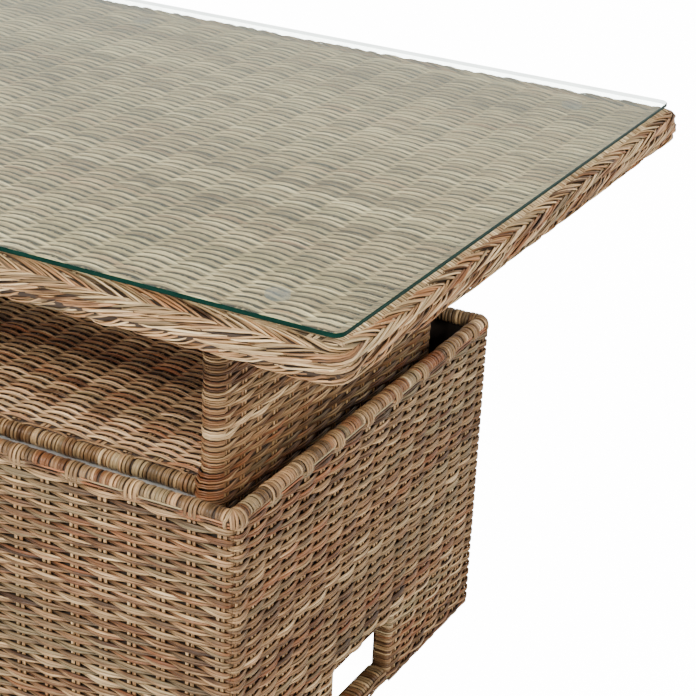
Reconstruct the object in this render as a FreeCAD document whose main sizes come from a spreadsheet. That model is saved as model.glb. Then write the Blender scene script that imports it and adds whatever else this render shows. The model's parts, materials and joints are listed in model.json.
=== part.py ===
import FreeCAD, Part
import os

import Sketcher
from FreeCAD import Vector, Rotation

# Rising wicker table. X runs along the table, Y across it, Z up.
# The origin is on the floor under the middle of the table, in the raised position.

doc = FreeCAD.newDocument("rising_table")
sheet = doc.addObject("Spreadsheet::Sheet", "dims")

SIZES = [
    # woven top and glass
    ("top_len", 1505), ("top_wid", 890), ("braid_wid", 35), ("braid_bot", 668), ("braid_top", 709),
    ("braid_corner", 24), ("braid_round", 9),
    ("glass_len", 1476), ("glass_wid", 855), ("glass_thk", 5), ("glass_top", 720), ("glass_corner", 12), ("glass_edge", 0.6),
    ("pad_dia", 25), ("pad_x", 635), ("pad_y", 362),
    ("sheet_bot", 702.5), ("sheet_top", 710.5),
    # top frame
    ("ttube", 24), ("tube_wall", 1.5), ("mid_cross", 170),
    # base
    ("base_len", 1140), ("base_wid", 636), ("base_bot", 4.4), ("rim_top", 429.5), ("rim_dia", 21), ("rail_dia", 16),
    ("skin", 7), ("window_half", 72), ("window_top", 107), ("stretch_top", 24.4), ("stretch_deep", 32.5), ("jamb", 3), ("jamb_deep", 22),
    ("liner", 1.2), ("liner_top", 408), ("btube", 20), ("btube_bot", 6.4), ("win_tube", 14), ("win_tube_y", 83), ("win_tube_x", 553), ("win_tube_top", 125),
    ("cross_wid", 30), ("cross_in", 20), ("glide_dia", 24),
    # inner box
    ("wall_x", 499), ("wall_thk", 31), ("inner_half", 263), ("wall_bot", 332), ("wall_top", 678), ("wall_skin", 3.2), ("wpost_dia", 23),
    ("notch_half", 16), ("notch_bot", 630),
    # shelf
    ("bar_dia", 21), ("bar_tube", 16), ("bar_y", 251), ("bar_z", 410.5), ("wrap_half", 482), ("shelf_bot", 414), ("shelf_top", 422),
    ("shelf_end_x", 470), ("shelf_mid_x", 160), ("under_y", 251.5), ("under_z", 386.6), ("under_tall", 13),
    # lift
    ("foot_out", 12), ("foot_in", 38), ("foot_len", 330), ("foot_thk", 4), ("guide_y", 140), ("gtube_od", 20), ("gtube_id", 17), ("gtube_top", 330),
    ("bush_od", 16.96), ("bush_id", 14.1), ("bush_len", 40), ("bush_lip", 3), ("rod_dia", 14), ("rod_bot", 256),
    ("plate_wid", 22.5), ("plate_len", 494), ("plate_thk", 5),
    ("cyl_od", 20), ("cyl_id", 16), ("cyl_floor", 6), ("cyl_top", 322), ("gland_od", 15.96), ("gland_id", 8.1), ("gland_len", 12),
    ("gas_rod", 8), ("piston_dia", 15.9), ("piston_bot", 296), ("piston_len", 10), ("gas_rod_top", 646), ("valve_hole", 4.1), ("valve_hole_bot", 636),
    # release
    ("head_half", 9), ("head_bot", 636), ("head_top", 649), ("head_in", 488), ("head_out", 510), ("ear", 4), ("ear_out", 530),
    ("pivot_x", 522), ("pivot_z", 658.5), ("pivot_dia", 6), ("pivot_hole", 6.1), ("ear_hole", 6.02), ("rod_seat", 8.02),
    ("valve_dia", 4), ("valve_bot", 641), ("valve_top", 653.1),
    ("lever_wid", 17), ("lever_tip", 494), ("lever_end", 612), ("lever_low", 654.5), ("lever_high", 662.5), ("finger_low", 653.5), ("finger_high", 660),
    ("grip_in", 562), ("grip_wid", 25), ("grip_wall", 4), ("grip_round", 3.5),
    # fasteners
    ("screw_dia", 6), ("screw_hole", 6.4), ("screw_head", 10), ("screw_head_tall", 5), ("screw_long", 20), ("screw_hex", 2.9), ("screw_hex_deep", 3),
    ("foot_screw_x", 8), ("foot_screw_y", 75), ("plate_screw_in", 60), ("plate_screw_out", 195),
]


class Dim:
    """A length that is both an expression on the sheet and its present value."""

    def __init__(self, text, value):
        self.text, self.value = text, value

    @staticmethod
    def of(other):
        return other if isinstance(other, Dim) else Dim(repr(float(other)), float(other))

    def __add__(self, o):
        o = Dim.of(o)
        return Dim("(%s + %s)" % (self.text, o.text), self.value + o.value)

    def __radd__(self, o):
        return Dim.of(o) + self

    def __sub__(self, o):
        o = Dim.of(o)
        return Dim("(%s - %s)" % (self.text, o.text), self.value - o.value)

    def __rsub__(self, o):
        return Dim.of(o) - self

    def __mul__(self, o):
        o = Dim.of(o)
        return Dim("(%s * %s)" % (self.text, o.text), self.value * o.value)

    def __rmul__(self, o):
        return Dim.of(o) * self

    def __truediv__(self, o):
        o = Dim.of(o)
        return Dim("(%s / %s)" % (self.text, o.text), self.value / o.value)

    def __neg__(self):
        return Dim("(0 - %s)" % self.text, -self.value)


class Dims:
    pass


d = Dims()
for row, (alias, value) in enumerate(SIZES, 1):
    sheet.set("A%d" % row, alias)
    sheet.set("B%d" % row, str(value))
    sheet.setAlias("B%d" % row, alias)
    setattr(d, alias, Dim("dims." + alias, float(value)))
doc.recompute()

X, Y, Z = Vector(1, 0, 0), Vector(0, 1, 0), Vector(0, 0, 1)
NODES = []


def bind(obj, prop, dim):
    obj.setExpression(prop, Dim.of(dim).text)


def place(obj, x, y, z):
    for letter, value in zip("xyz", (x, y, z)):
        bind(obj, "Placement.Base." + letter, value)


def node(obj, label):
    obj.Label = label
    NODES.append(obj)
    return obj


def box(name, x0, x1, y0, y1, z0, z1):
    o = doc.addObject("Part::Box", name)
    x0, x1, y0, y1, z0, z1 = map(Dim.of, (x0, x1, y0, y1, z0, z1))
    bind(o, "Length", x1 - x0)
    bind(o, "Width", y1 - y0)
    bind(o, "Height", z1 - z0)
    place(o, x0, y0, z0)
    return o


TURN = {"Z": Rotation(), "X": Rotation(Y, 90), "Y": Rotation(X, -90)}


def rod(name, dia, x, y, z, long, axis="Z"):
    o = doc.addObject("Part::Cylinder", name)
    o.Placement = FreeCAD.Placement(Vector(), TURN[axis])
    bind(o, "Radius", dia / 2)
    bind(o, "Height", long)
    place(o, x, y, z)
    return o


def cut(name, base, tool):
    o = doc.addObject("Part::Cut", name)
    o.Base, o.Tool = base, tool
    return o


def fuse(name, *shapes):
    o = doc.addObject("Part::MultiFuse", name)
    o.Shapes = list(shapes)
    o.Refine = True
    return o


def group(name, *shapes):
    o = doc.addObject("Part::Compound", name)
    o.Links = list(shapes)
    return o


def mirror(name, source, normal):
    o = doc.addObject("Part::Mirroring", name)
    o.Source, o.Base, o.Normal = source, Vector(), normal
    return o


def pair(name, source, normal):
    return group(name, source, mirror(name + "_other", source, normal))


def four(name, source):
    return pair(name, pair(name + "_side", source, Y), X)


def pipe(name, dia, wall, x, y, z, long, axis="Z"):
    """Round tube."""
    return cut(name, rod(name + "_out", dia, x, y, z, long, axis), rod(name + "_in", dia - 2 * wall, x, y, z, long, axis))


def square(name, x0, x1, y0, y1, z0, z1, wall, axis):
    """Rectangular tube, open at both ends of its axis."""
    ix0, ix1, iy0, iy1, iz0, iz1 = map(Dim.of, (x0, x1, y0, y1, z0, z1))
    if axis != "X":
        ix0, ix1 = ix0 + wall, ix1 - wall
    if axis != "Y":
        iy0, iy1 = iy0 + wall, iy1 - wall
    if axis != "Z":
        iz0, iz1 = iz0 + wall, iz1 - wall
    return cut(name, box(name + "_out", x0, x1, y0, y1, z0, z1), box(name + "_in", ix0, ix1, iy0, iy1, iz0, iz1))


def body(name):
    return doc.addObject("PartDesign::Body", name)


def sketch(b, name, plane):
    s = b.newObject("Sketcher::SketchObject", name)
    s.AttachmentSupport = [(next(f for f in b.Origin.OriginFeatures if f.Role == plane), "")]
    s.MapMode = "FlatFace"
    return s


def at(s, geo, pos, x, y):
    """Fixes a sketch point at x, y from the sketch's origin."""
    for kind, value in (("DistanceX", x), ("DistanceY", y)):
        value = Dim.of(value)
        i = s.addConstraint(Sketcher.Constraint(kind, -1, 1, geo, pos, value.value))
        s.setExpression("Constraints[%d]" % i, value.text)


def polygon(s, points):
    """A closed outline through points, each one fixed by its two distances."""
    pts = [(Dim.of(a), Dim.of(b)) for a, b in points]
    flat = [Vector(a.value, b.value, 0) for a, b in pts]
    first = None
    for i, p in enumerate(flat):
        g = s.addGeometry(Part.LineSegment(p, flat[(i + 1) % len(flat)]), False)
        first = g if first is None else first
    n = len(flat)
    for i in range(n):
        s.addConstraint(Sketcher.Constraint("Coincident", first + i, 2, first + (i + 1) % n, 1))
    for i, (a, b) in enumerate(pts):
        at(s, first + i, 1, a, b)


def rect(s, x0, x1, y0, y1):
    polygon(s, [(x0, y0), (x1, y0), (x1, y1), (x0, y1)])


def circle(s, x, y, dia):
    x, y, dia = Dim.of(x), Dim.of(y), Dim.of(dia)
    g = s.addGeometry(Part.Circle(Vector(x.value, y.value, 0), Z, dia.value / 2), False)
    at(s, g, 3, x, y)
    i = s.addConstraint(Sketcher.Constraint("Diameter", g, dia.value))
    s.setExpression("Constraints[%d]" % i, dia.text)


def pad(b, name, profile, long, back=False):
    p = b.newObject("PartDesign::Pad", name)
    p.Profile = profile
    bind(p, "Length", long)
    p.Reversed = back
    doc.recompute()
    if p.Shape.isNull() or "Invalid" in p.State:
        raise RuntimeError("%s failed: sketch %s, %s" % (name, profile.State, profile.solve()))
    return p


def pocket(b, name, profile, long, back=False):
    before = b.Shape.Volume
    p = b.newObject("PartDesign::Pocket", name)
    p.Profile = profile
    bind(p, "Length", long)
    p.Reversed = back
    doc.recompute()
    if not b.Shape.Volume < before - 1e-6:
        raise RuntimeError(name + " cuts nothing")
    return p


def fillet(b, name, base, radius, pick):
    f = b.newObject("PartDesign::Fillet", name)
    f.Base = (base, ["Edge%d" % (i + 1) for i, e in enumerate(base.Shape.Edges) if pick(e)])
    bind(f, "Radius", radius)
    doc.recompute()
    return f


def upright(e):
    return abs(e.tangentAt(e.FirstParameter).z) > 0.999


def spun(name, points, x, y):
    """A turned piece: an outline of (radius, height) points about a vertical axis at x, y."""
    b = body(name)
    s = sketch(b, name + "_outline", "XZ_Plane")
    polygon(s, points)
    doc.recompute()
    r = b.newObject("PartDesign::Revolution", name + "_turn")
    r.Profile = s
    r.ReferenceAxis = (s, ["V_Axis"])
    r.Angle = 360
    doc.recompute()
    bind(b, "Placement.Base.x", x)
    bind(b, "Placement.Base.y", y)
    return b


HX, HY = d.base_len / 2, d.base_wid / 2
rim_r = d.rim_dia / 2
rim_z = d.rim_top - rim_r

# ---------------------------------------------------------------- woven base panels


def panel_outline(s, out, z_foot):
    """Woven panel that rises to a tube and wraps round it: out is the outer face's distance, seen along the rim."""
    c = out - rim_r
    drop = (rim_r.value ** 2 - (rim_r.value - d.skin.value) ** 2) ** 0.5
    o, i, b, cz = out.value, (out - d.skin).value, z_foot.value, rim_z.value
    g1 = s.addGeometry(Part.LineSegment(Vector(o, b, 0), Vector(o, cz, 0)), False)
    arc = Part.Arc(Vector(o, cz, 0), Vector(c.value - rim_r.value, cz, 0), Vector(i, cz - drop, 0))
    g2 = s.addGeometry(arc, False)
    g3 = s.addGeometry(Part.LineSegment(Vector(i, cz - drop, 0), Vector(i, b, 0)), False)
    g4 = s.addGeometry(Part.LineSegment(Vector(i, b, 0), Vector(o, b, 0)), False)
    # the arc runs anticlockwise from the outer face over the top to the inner face
    start = s.getPoint(g2, 1)
    near, far = (1, 2) if abs(start.x - o) < 1e-6 and abs(start.y - cz) < 1e-6 else (2, 1)
    s.addConstraint(Sketcher.Constraint("Tangent", g1, 2, g2, near))
    s.addConstraint(Sketcher.Constraint("Coincident", g2, far, g3, 1))
    s.addConstraint(Sketcher.Constraint("Coincident", g3, 2, g4, 1))
    s.addConstraint(Sketcher.Constraint("Coincident", g4, 2, g1, 1))
    s.addConstraint(Sketcher.Constraint("Vertical", g3))
    s.addConstraint(Sketcher.Constraint("Horizontal", g4))
    at(s, g2, 3, c, rim_z)
    at(s, g4, 2, out, z_foot)
    k = s.addConstraint(Sketcher.Constraint("Radius", g2, rim_r.value))
    s.setExpression("Constraints[%d]" % k, rim_r.text)
    k = s.addConstraint(Sketcher.Constraint("DistanceX", g4, 1, g4, 2, d.skin.value))
    s.setExpression("Constraints[%d]" % k, d.skin.text)
    circle(s, c, rim_z, d.rail_dia + 0.2)


# front panel, drawn as seen along X with its outer face towards +Y, then turned to face -Y
back = body("back_panel")
s = sketch(back, "back_panel_outline", "YZ_Plane")
panel_outline(s, HY, d.base_bot)
doc.recompute()
pad(back, "back_panel_run", s, d.base_len)
# the weave turns the corner and meets the end panel
s = sketch(back, "back_panel_returns", "XY_Plane")
rect(s, 0, d.skin, HY - d.rim_dia, HY - d.skin)
rect(s, d.base_len - d.skin, d.base_len, HY - d.rim_dia, HY - d.skin)
doc.recompute()
pad(back, "back_panel_returns_up", s, rim_z - rim_r - 0.5)
s = sketch(back, "back_panel_foot", "XY_Plane")
rect(s, -1, d.base_len + 1, HY - d.rim_dia - 1, HY + 1)
doc.recompute()
pocket(back, "back_panel_foot_cut", s, d.base_bot, back=True)
bind(back, "Placement.Base.x", -HX)
node(back, "base_back_weave")
node(mirror("front_panel", back, Y), "base_front_weave")

# end panel with its floor-level window
end_half = HY - d.rim_dia
end = body("end_panel")
s = sketch(end, "end_panel_outline", "XZ_Plane")
panel_outline(s, HX, d.base_bot)
doc.recompute()
end_run = pad(end, "end_panel_run", s, end_half * 2)
s = sketch(end, "end_panel_jambs", "XY_Plane")
deep = HX - d.skin - d.jamb_deep
rect(s, deep, HX - d.skin + 0.5, -end_half - d.window_half - d.jamb, -end_half - d.window_half)
rect(s, deep, HX - d.skin + 0.5, -end_half + d.window_half, -end_half + d.window_half + d.jamb)
doc.recompute()
# the outline's pad runs towards -Y in its own frame when the sketch faces -Y; the jambs follow it
run_box = end_run.Shape.BoundBox
if run_box.YMin > -1:
    raise RuntimeError("end panel runs the wrong way")
pad(end, "end_panel_jambs_up", s, d.window_top + d.jamb)
s = sketch(end, "end_panel_head", "XZ_Plane")
rect(s, deep, HX - d.skin + 0.5, d.window_top, d.window_top + d.jamb)
doc.recompute()
head_pad = pad(end, "end_panel_head_run", s, end_half + d.window_half + d.jamb)
s = sketch(end, "end_panel_head_trim", "XZ_Plane")
rect(s, deep - 1, HX - d.skin - 0.01, d.window_top - 1, d.window_top + d.jamb + 1)
doc.recompute()
pocket(end, "end_panel_head_cut", s, end_half - d.window_half - d.jamb, back=end_run.Shape.BoundBox.YMin < -1)
s = sketch(end, "end_panel_window", "YZ_Plane")
rect(s, -end_half - d.window_half, -end_half + d.window_half, d.base_bot - 10, d.window_top)
doc.recompute()
pocket(end, "end_panel_window_cut", s, HX + 10, back=True)
s = sketch(end, "end_panel_foot", "YZ_Plane")
rect(s, -end_half * 2 - 1, 1, -5, d.stretch_top)
doc.recompute()
pocket(end, "end_panel_foot_cut", s, HX - d.skin - 0.01, back=True)
s = sketch(end, "end_panel_floor", "YZ_Plane")
rect(s, -end_half * 2 - 1, 1, -5, d.base_bot)
doc.recompute()
pocket(end, "end_panel_floor_cut", s, HX + 10, back=True)
bind(end, "Placement.Base.y", end_half)
node(end, "base_right_weave")
node(mirror("end_panel_left", end, X), "base_left_weave")

# wrapped stretcher across the foot of each window
inner_face = HX - d.skin - 2
wrap = cut(
    "stretcher_wrap",
    box("stretcher_wrap_out", HX - d.stretch_deep, HX, -d.window_half + 0.2, d.window_half - 0.2, d.base_bot, d.stretch_top),
    box("stretcher_wrap_in", inner_face - d.btube - 0.2, inner_face + 0.2, -d.window_half, d.window_half, d.btube_bot - 0.2, d.btube_bot + 14.2),
)
node(pair("stretcher_wraps_pair", wrap, X), "stretcher_wraps")

# dark lining behind the weave
lin_y = HY - d.skin - 0.4
lin_x = HX - d.skin - 0.4
sheet_back = box("lining_back", -lin_x, lin_x, lin_y - d.liner, lin_y, d.btube_bot, d.liner_top)
sheet_end = cut(
    "lining_end",
    box("lining_end_sheet", lin_x - d.liner, lin_x, -lin_y + d.liner + 0.2, lin_y - d.liner - 0.2, d.btube_bot, d.liner_top),
    box("lining_end_window", lin_x - 5, lin_x + 5, -d.window_half - d.jamb - 0.5, d.window_half + d.jamb + 0.5, 0, d.window_top + d.jamb + 0.5),
)
node(group("lining_all", pair("lining_long", sheet_back, Y), pair("lining_ends", sheet_end, X)), "base_liner")

# ---------------------------------------------------------------- base frame
back_rail = pipe("back_rail", d.rail_dia, d.tube_wall, -HX + 17, HY - rim_r, rim_z, d.base_len - 34, "X")
node(back_rail, "rim_rail_back")
node(mirror("front_rail", back_rail, Y), "rim_rail_front")
end_rail = pipe("end_rail", d.rail_dia, d.tube_wall, HX - rim_r, -end_half + 0.5, rim_z, end_half * 2 - 1, "Y")
node(end_rail, "rim_rail_right")
node(mirror("end_rail_left", end_rail, X), "rim_rail_left")

out_x, out_y = inner_face, HY - d.skin - 2
in_x, in_y = out_x - d.btube, out_y - d.btube
post = square("corner_post", in_x, out_x, in_y, out_y, d.base_bot, rim_z - d.rail_dia / 2 - 2.6, d.tube_wall, "Z")
node(four("corner_posts_four", post), "base_corner_posts")
bottom = square("bottom_rail", -in_x, in_x, in_y, out_y, d.btube_bot, d.btube_bot + d.btube, d.tube_wall, "X")
node(bottom, "bottom_rail_back")
node(mirror("bottom_rail_f", bottom, Y), "bottom_rail_front")
stretcher = square("stretcher", in_x, out_x, -in_y, in_y, d.btube_bot, d.btube_bot + 14, d.tube_wall, "Y")
node(pair("stretcher_pair", stretcher, X), "stretcher_tubes")
wpost = pipe("window_post", d.win_tube, d.tube_wall, d.win_tube_x, d.win_tube_y, d.btube_bot + 14, d.win_tube_top - d.btube_bot - 14)
node(four("window_posts_four", wpost), "window_posts")
head_y = d.win_tube_y - d.win_tube / 2 - 0.1
header = pipe("window_header", d.win_tube, d.tube_wall, d.win_tube_x, -head_y, d.window_top + d.jamb + 0.5 + d.win_tube / 2, head_y * 2, "Y")
node(pair("window_headers_pair", header, X), "window_headers")

cross_top = d.btube_bot + d.btube
cross_x = d.wall_x - d.cross_in
cross = square("foot_cross", cross_x - d.cross_wid / 2, cross_x + d.cross_wid / 2, -in_y, in_y, d.btube_bot, cross_top, d.tube_wall, "Y")
foot_hole = pair("foot_hole_pair", rod("foot_hole", d.screw_hole, cross_x + d.foot_screw_x, d.foot_screw_y, cross_top - 5, 10), Y)
foot_hole_in = pair("foot_hole_in_pair", rod("foot_hole_in", d.screw_hole, cross_x - d.foot_screw_x, d.foot_screw_y, cross_top - 5, 10), Y)
cross = cut("foot_cross_drilled", cross, group("foot_holes", foot_hole, foot_hole_in))
node(pair("foot_cross_pair", cross, X), "base_cross_tubes")

# plastic glides under the corner posts, plugged into them
plug = (d.btube - 2 * d.tube_wall) / 2 - 0.1
gr = d.glide_dia / 2
glide = spun("glide", [(0, 0), (gr - 1.5, 0), (gr, 1.5), (gr, d.base_bot), (plug, d.base_bot), (plug, d.base_bot + 15), (0, d.base_bot + 15)], in_x + d.btube / 2, in_y + d.btube / 2)
node(four("glides_four", glide), "foot_glides")

# ---------------------------------------------------------------- lift, fixed half
foot_top = cross_top + d.foot_thk
foot = body("foot_plate")
s = sketch(foot, "foot_plate_outline", "XY_Plane")
rect(s, -d.foot_in, d.foot_out, -d.foot_len / 2, d.foot_len / 2)
for sx in (-1, 1):
    for sy in (-1, 1):
        circle(s, sx * (d.foot_screw_x) - d.cross_in, sy * d.foot_screw_y, d.screw_hole)
doc.recompute()
plate = pad(foot, "foot_plate_thick", s, d.foot_thk)
fillet(foot, "foot_plate_corners", plate, Dim.of(6), lambda e: upright(e) and min(abs(e.Vertexes[0].X - d.foot_out.value), abs(e.Vertexes[0].X + d.foot_in.value)) < 1e-6)
place(foot, d.wall_x, Dim.of(0), cross_top)
node(foot, "column_foot_right")
node(mirror("foot_plate_left", foot, X), "column_foot_left")

gtube = pipe("guide_tube", d.gtube_od, (d.gtube_od - d.gtube_id) / 2, d.wall_x, d.guide_y, foot_top, d.gtube_top - foot_top)
node(four("guide_tubes_four", gtube), "guide_tubes")
bi, bo, lip = d.bush_id / 2, d.bush_od / 2, d.gtube_od / 2
bush = spun("bush", [(bi, d.gtube_top - d.bush_len), (bo, d.gtube_top - d.bush_len), (bo, d.gtube_top), (lip, d.gtube_top), (lip, d.gtube_top + d.bush_lip), (bi, d.gtube_top + d.bush_lip)], d.wall_x, d.guide_y)
node(four("bushes_four", bush), "guide_bushes")

co, ci = d.cyl_od / 2, d.cyl_id / 2
cylinder = spun("gas_cylinder", [(0, foot_top), (co, foot_top), (co, d.cyl_top), (ci, d.cyl_top), (ci, foot_top + d.cyl_floor), (0, foot_top + d.cyl_floor)], d.wall_x, Dim.of(0))
node(cylinder, "gas_cylinder_right")
node(mirror("gas_cylinder_l", cylinder, X), "gas_cylinder_left")
gi, go = d.gland_id / 2, d.gland_od / 2
gland = spun("gland", [(gi, d.cyl_top - d.gland_len), (go, d.cyl_top - d.gland_len), (go, d.cyl_top), (gi, d.cyl_top)], d.wall_x, Dim.of(0))
node(pair("gland_pair", gland, X), "gas_glands")


def screw(name, x, y, z, up):
    """Socket screw whose head sits at z; up says which way its shank points away from the head."""
    head = rod(name + "_head", d.screw_head, x, y, z if up < 0 else z - d.screw_head_tall, d.screw_head_tall)
    shank = rod(name + "_shank", d.screw_dia, x, y, z - d.screw_long if up < 0 else z, d.screw_long)
    hexa = doc.addObject("Part::Prism", name + "_hex")
    hexa.Polygon = 6
    bind(hexa, "Circumradius", d.screw_hex)
    bind(hexa, "Height", d.screw_hex_deep)
    place(hexa, x, y, z + d.screw_head_tall - d.screw_hex_deep if up < 0 else z - d.screw_head_tall)
    return cut(name, fuse(name + "_blank", head, shank), hexa)


foot_screws = group(
    "foot_screw_two",
    screw("foot_screw_out", cross_x + d.foot_screw_x, d.foot_screw_y, foot_top, -1),
    screw("foot_screw_in", cross_x - d.foot_screw_x, d.foot_screw_y, foot_top, -1),
)
node(four("foot_screws_all", foot_screws), "base_screws")

# ---------------------------------------------------------------- glass and woven top
glass = body("glass")
s = sketch(glass, "glass_outline", "XY_Plane")
rect(s, -d.glass_len / 2, d.glass_len / 2, -d.glass_wid / 2, d.glass_wid / 2)
doc.recompute()
g = pad(glass, "glass_thickness", s, d.glass_thk)
g = fillet(glass, "glass_corners", g, d.glass_corner, upright)
ch = glass.newObject("PartDesign::Chamfer", "glass_arris")
ch.Base = (g, ["Edge%d" % (i + 1) for i, e in enumerate(g.Shape.Edges) if not upright(e)])
bind(ch, "Size", d.glass_edge)
doc.recompute()
bind(glass, "Placement.Base.z", d.glass_top - d.glass_thk)
node(glass, "glass_top")

pad_tall = d.glass_top - d.glass_thk - d.sheet_top
corner_pad = rod("pad_corner", d.pad_dia, d.pad_x, d.pad_y, d.sheet_top, pad_tall)
middle_pad = rod("pad_middle", d.pad_dia, 0, d.pad_y, d.sheet_top, pad_tall)
node(group("pads_all", four("pad_corners", corner_pad), pair("pad_middles", middle_pad, Y)), "glass_pads")

TX, TY = d.top_len / 2 - d.braid_wid, d.top_wid / 2 - d.braid_wid
sheet_top = body("woven_sheet")
s = sketch(sheet_top, "woven_sheet_outline", "XY_Plane")
rect(s, -TX + 0.2, TX - 0.2, -TY + 0.2, TY - 0.2)
doc.recompute()
pad(sheet_top, "woven_sheet_thickness", s, d.sheet_top - d.sheet_bot)
bind(sheet_top, "Placement.Base.z", d.sheet_bot)
node(sheet_top, "top_weave")

braid = body("braid")
s = sketch(braid, "braid_outline", "XY_Plane")
rect(s, -d.top_len / 2, d.top_len / 2, -d.top_wid / 2, d.top_wid / 2)
rect(s, -TX, TX, -TY, TY)
doc.recompute()
b1 = pad(braid, "braid_height", s, d.braid_top - d.braid_bot)
b2 = fillet(braid, "braid_corners", b1, d.braid_corner, lambda e: upright(e) and abs(abs(e.Vertexes[0].X) - d.top_len.value / 2) < 1e-6)


def outer_rim(e):
    bb = e.BoundBox
    flat = bb.ZLength < 1e-6
    more = (d.top_len.value - d.top_wid.value) / 2
    return flat and max(abs(bb.XMax), abs(bb.XMin), abs(bb.YMax) + more, abs(bb.YMin) + more) > d.top_len.value / 2 - d.braid_corner.value - 0.5


b3 = fillet(braid, "braid_rounding", b2, d.braid_round, outer_rim)
bind(braid, "Placement.Base.z", d.braid_bot)
node(braid, "top_braid")

# ---------------------------------------------------------------- top frame
tz0, tz1 = d.sheet_bot - d.ttube, d.sheet_bot
fx, fy = TX - 0.5, TY - 0.5
t_back = square("top_back", -fx, fx, fy - d.ttube, fy, tz0, tz1, d.tube_wall, "X")
node(t_back, "top_tube_back")
node(mirror("top_front", t_back, Y), "top_tube_front")
t_end = square("top_end", fx - d.ttube, fx, -fy + d.ttube, fy - d.ttube, tz0, tz1, d.tube_wall, "Y")
node(t_end, "top_tube_right")
node(mirror("top_end_left", t_end, X), "top_tube_left")
t_wall = square("top_wall_cross", d.wall_x - d.ttube / 2, d.wall_x + d.ttube / 2, -fy + d.ttube, fy - d.ttube, tz0, tz1, d.tube_wall, "Y")
plate_holes = group("plate_holes", rod("plate_hole_a", d.screw_hole, d.wall_x, d.plate_screw_in, tz0 - 3, 10), rod("plate_hole_b", d.screw_hole, d.wall_x, d.plate_screw_out, tz0 - 3, 10))
t_wall = cut("top_wall_cross_drilled", t_wall, pair("plate_holes_both", plate_holes, Y))
t_mid = square("top_mid_cross", d.mid_cross - d.ttube / 2, d.mid_cross + d.ttube / 2, -fy + d.ttube, fy - d.ttube, tz0, tz1, d.tube_wall, "Y")
node(group("top_crosses", pair("top_wall_crosses", t_wall, X), pair("top_mid_crosses", t_mid, X)), "top_cross_tubes")

# ---------------------------------------------------------------- inner box: end walls
half = d.wall_thk / 2
round_y = d.inner_half - half


def stadium(name, r, z0, z1):
    """Upright wall with half-round front and back edges."""
    flat = box(name + "_flat", d.wall_x - r, d.wall_x + r, -round_y, round_y, z0, z1)
    front = rod(name + "_front", r * 2, d.wall_x, -round_y, z0, z1 - z0)
    rear = rod(name + "_rear", r * 2, d.wall_x, round_y, z0, z1 - z0)
    return fuse(name, flat, front, rear)


shell = cut("wall_shell", stadium("wall_outer", half, d.wall_bot, d.wall_top), stadium("wall_inner", half - d.wall_skin, d.wall_bot, d.wall_top))
notch = box("wall_notch", d.wall_x + half - d.wall_skin - 1, d.wall_x + half + 1, -d.notch_half, d.notch_half, d.notch_bot, d.wall_top + 1)
wall = cut("wall_woven", shell, notch)
node(wall, "wall_weave_right")
node(mirror("wall_woven_left", wall, X), "wall_weave_left")

plate_bot = tz0 - d.plate_thk
wall_post = pipe("wall_post", d.wpost_dia, d.tube_wall, d.wall_x, round_y, d.wall_bot, plate_bot - d.wall_bot)
node(four("wall_posts_four", wall_post), "wall_posts")

lift_plate = body("lift_plate")
s = sketch(lift_plate, "lift_plate_outline", "XY_Plane")
rect(s, -d.plate_wid / 2, d.plate_wid / 2, -d.plate_len / 2, d.plate_len / 2)
for sy in (-1, 1):
    circle(s, 0, sy * d.plate_screw_in, d.screw_hole)
    circle(s, 0, sy * d.plate_screw_out, d.screw_hole)
doc.recompute()
pad(lift_plate, "lift_plate_thick", s, d.plate_thk)
place(lift_plate, d.wall_x, Dim.of(0), plate_bot)
node(lift_plate, "lift_plate_right")
node(mirror("lift_plate_l", lift_plate, X), "lift_plate_left")

plate_screws = group("plate_screw_two", screw("plate_screw_a", d.wall_x, d.plate_screw_in, plate_bot, 1), screw("plate_screw_b", d.wall_x, d.plate_screw_out, plate_bot, 1))
node(four("plate_screws_all", plate_screws), "lift_screws")

# ---------------------------------------------------------------- shelf
sx = d.wall_x - half
bar = pipe("shelf_bar", d.bar_tube, d.tube_wall, -sx, d.bar_y, d.bar_z, sx * 2, "X")
node(pair("shelf_bar_pair", bar, Y), "shelf_bars")
bar_wrap = cut("shelf_bar_wrap", rod("shelf_bar_wrap_out", d.bar_dia, -d.wrap_half, d.bar_y, d.bar_z, d.wrap_half * 2, "X"), rod("shelf_bar_wrap_in", d.bar_tube + 0.4, -d.wrap_half, d.bar_y, d.bar_z, d.wrap_half * 2, "X"))
node(bar_wrap, "shelf_wrap_back")
node(mirror("shelf_bar_wrap_f", bar_wrap, Y), "shelf_wrap_front")
under = square("under_rail", -sx, sx, d.under_y - 10, d.under_y + 10, d.under_z, d.under_z + d.under_tall, d.tube_wall, "X")
node(pair("under_rail_pair", under, Y), "shelf_under_rails")
shelf_y = d.bar_y - d.bar_dia / 2 - 0.2
shelf = body("shelf_sheet")
s = sketch(shelf, "shelf_outline", "XY_Plane")
rect(s, -sx, sx, -shelf_y, shelf_y)
doc.recompute()
pad(shelf, "shelf_thickness", s, d.shelf_top - d.shelf_bot)
bind(shelf, "Placement.Base.z", d.shelf_bot)
node(shelf, "shelf_weave")
sz1 = d.shelf_bot - 0.2
se = square("shelf_end_cross", d.shelf_end_x - 10, d.shelf_end_x + 10, -shelf_y + 0.3, shelf_y - 0.3, sz1 - 20, sz1, d.tube_wall, "Y")
sm = square("shelf_mid_cross", d.shelf_mid_x - 10, d.shelf_mid_x + 10, -shelf_y + 0.3, shelf_y - 0.3, sz1 - 20, sz1, d.tube_wall, "Y")
node(group("shelf_crosses", pair("shelf_end_pair", se, X), pair("shelf_mid_pair", sm, X)), "shelf_cross_tubes")

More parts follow.
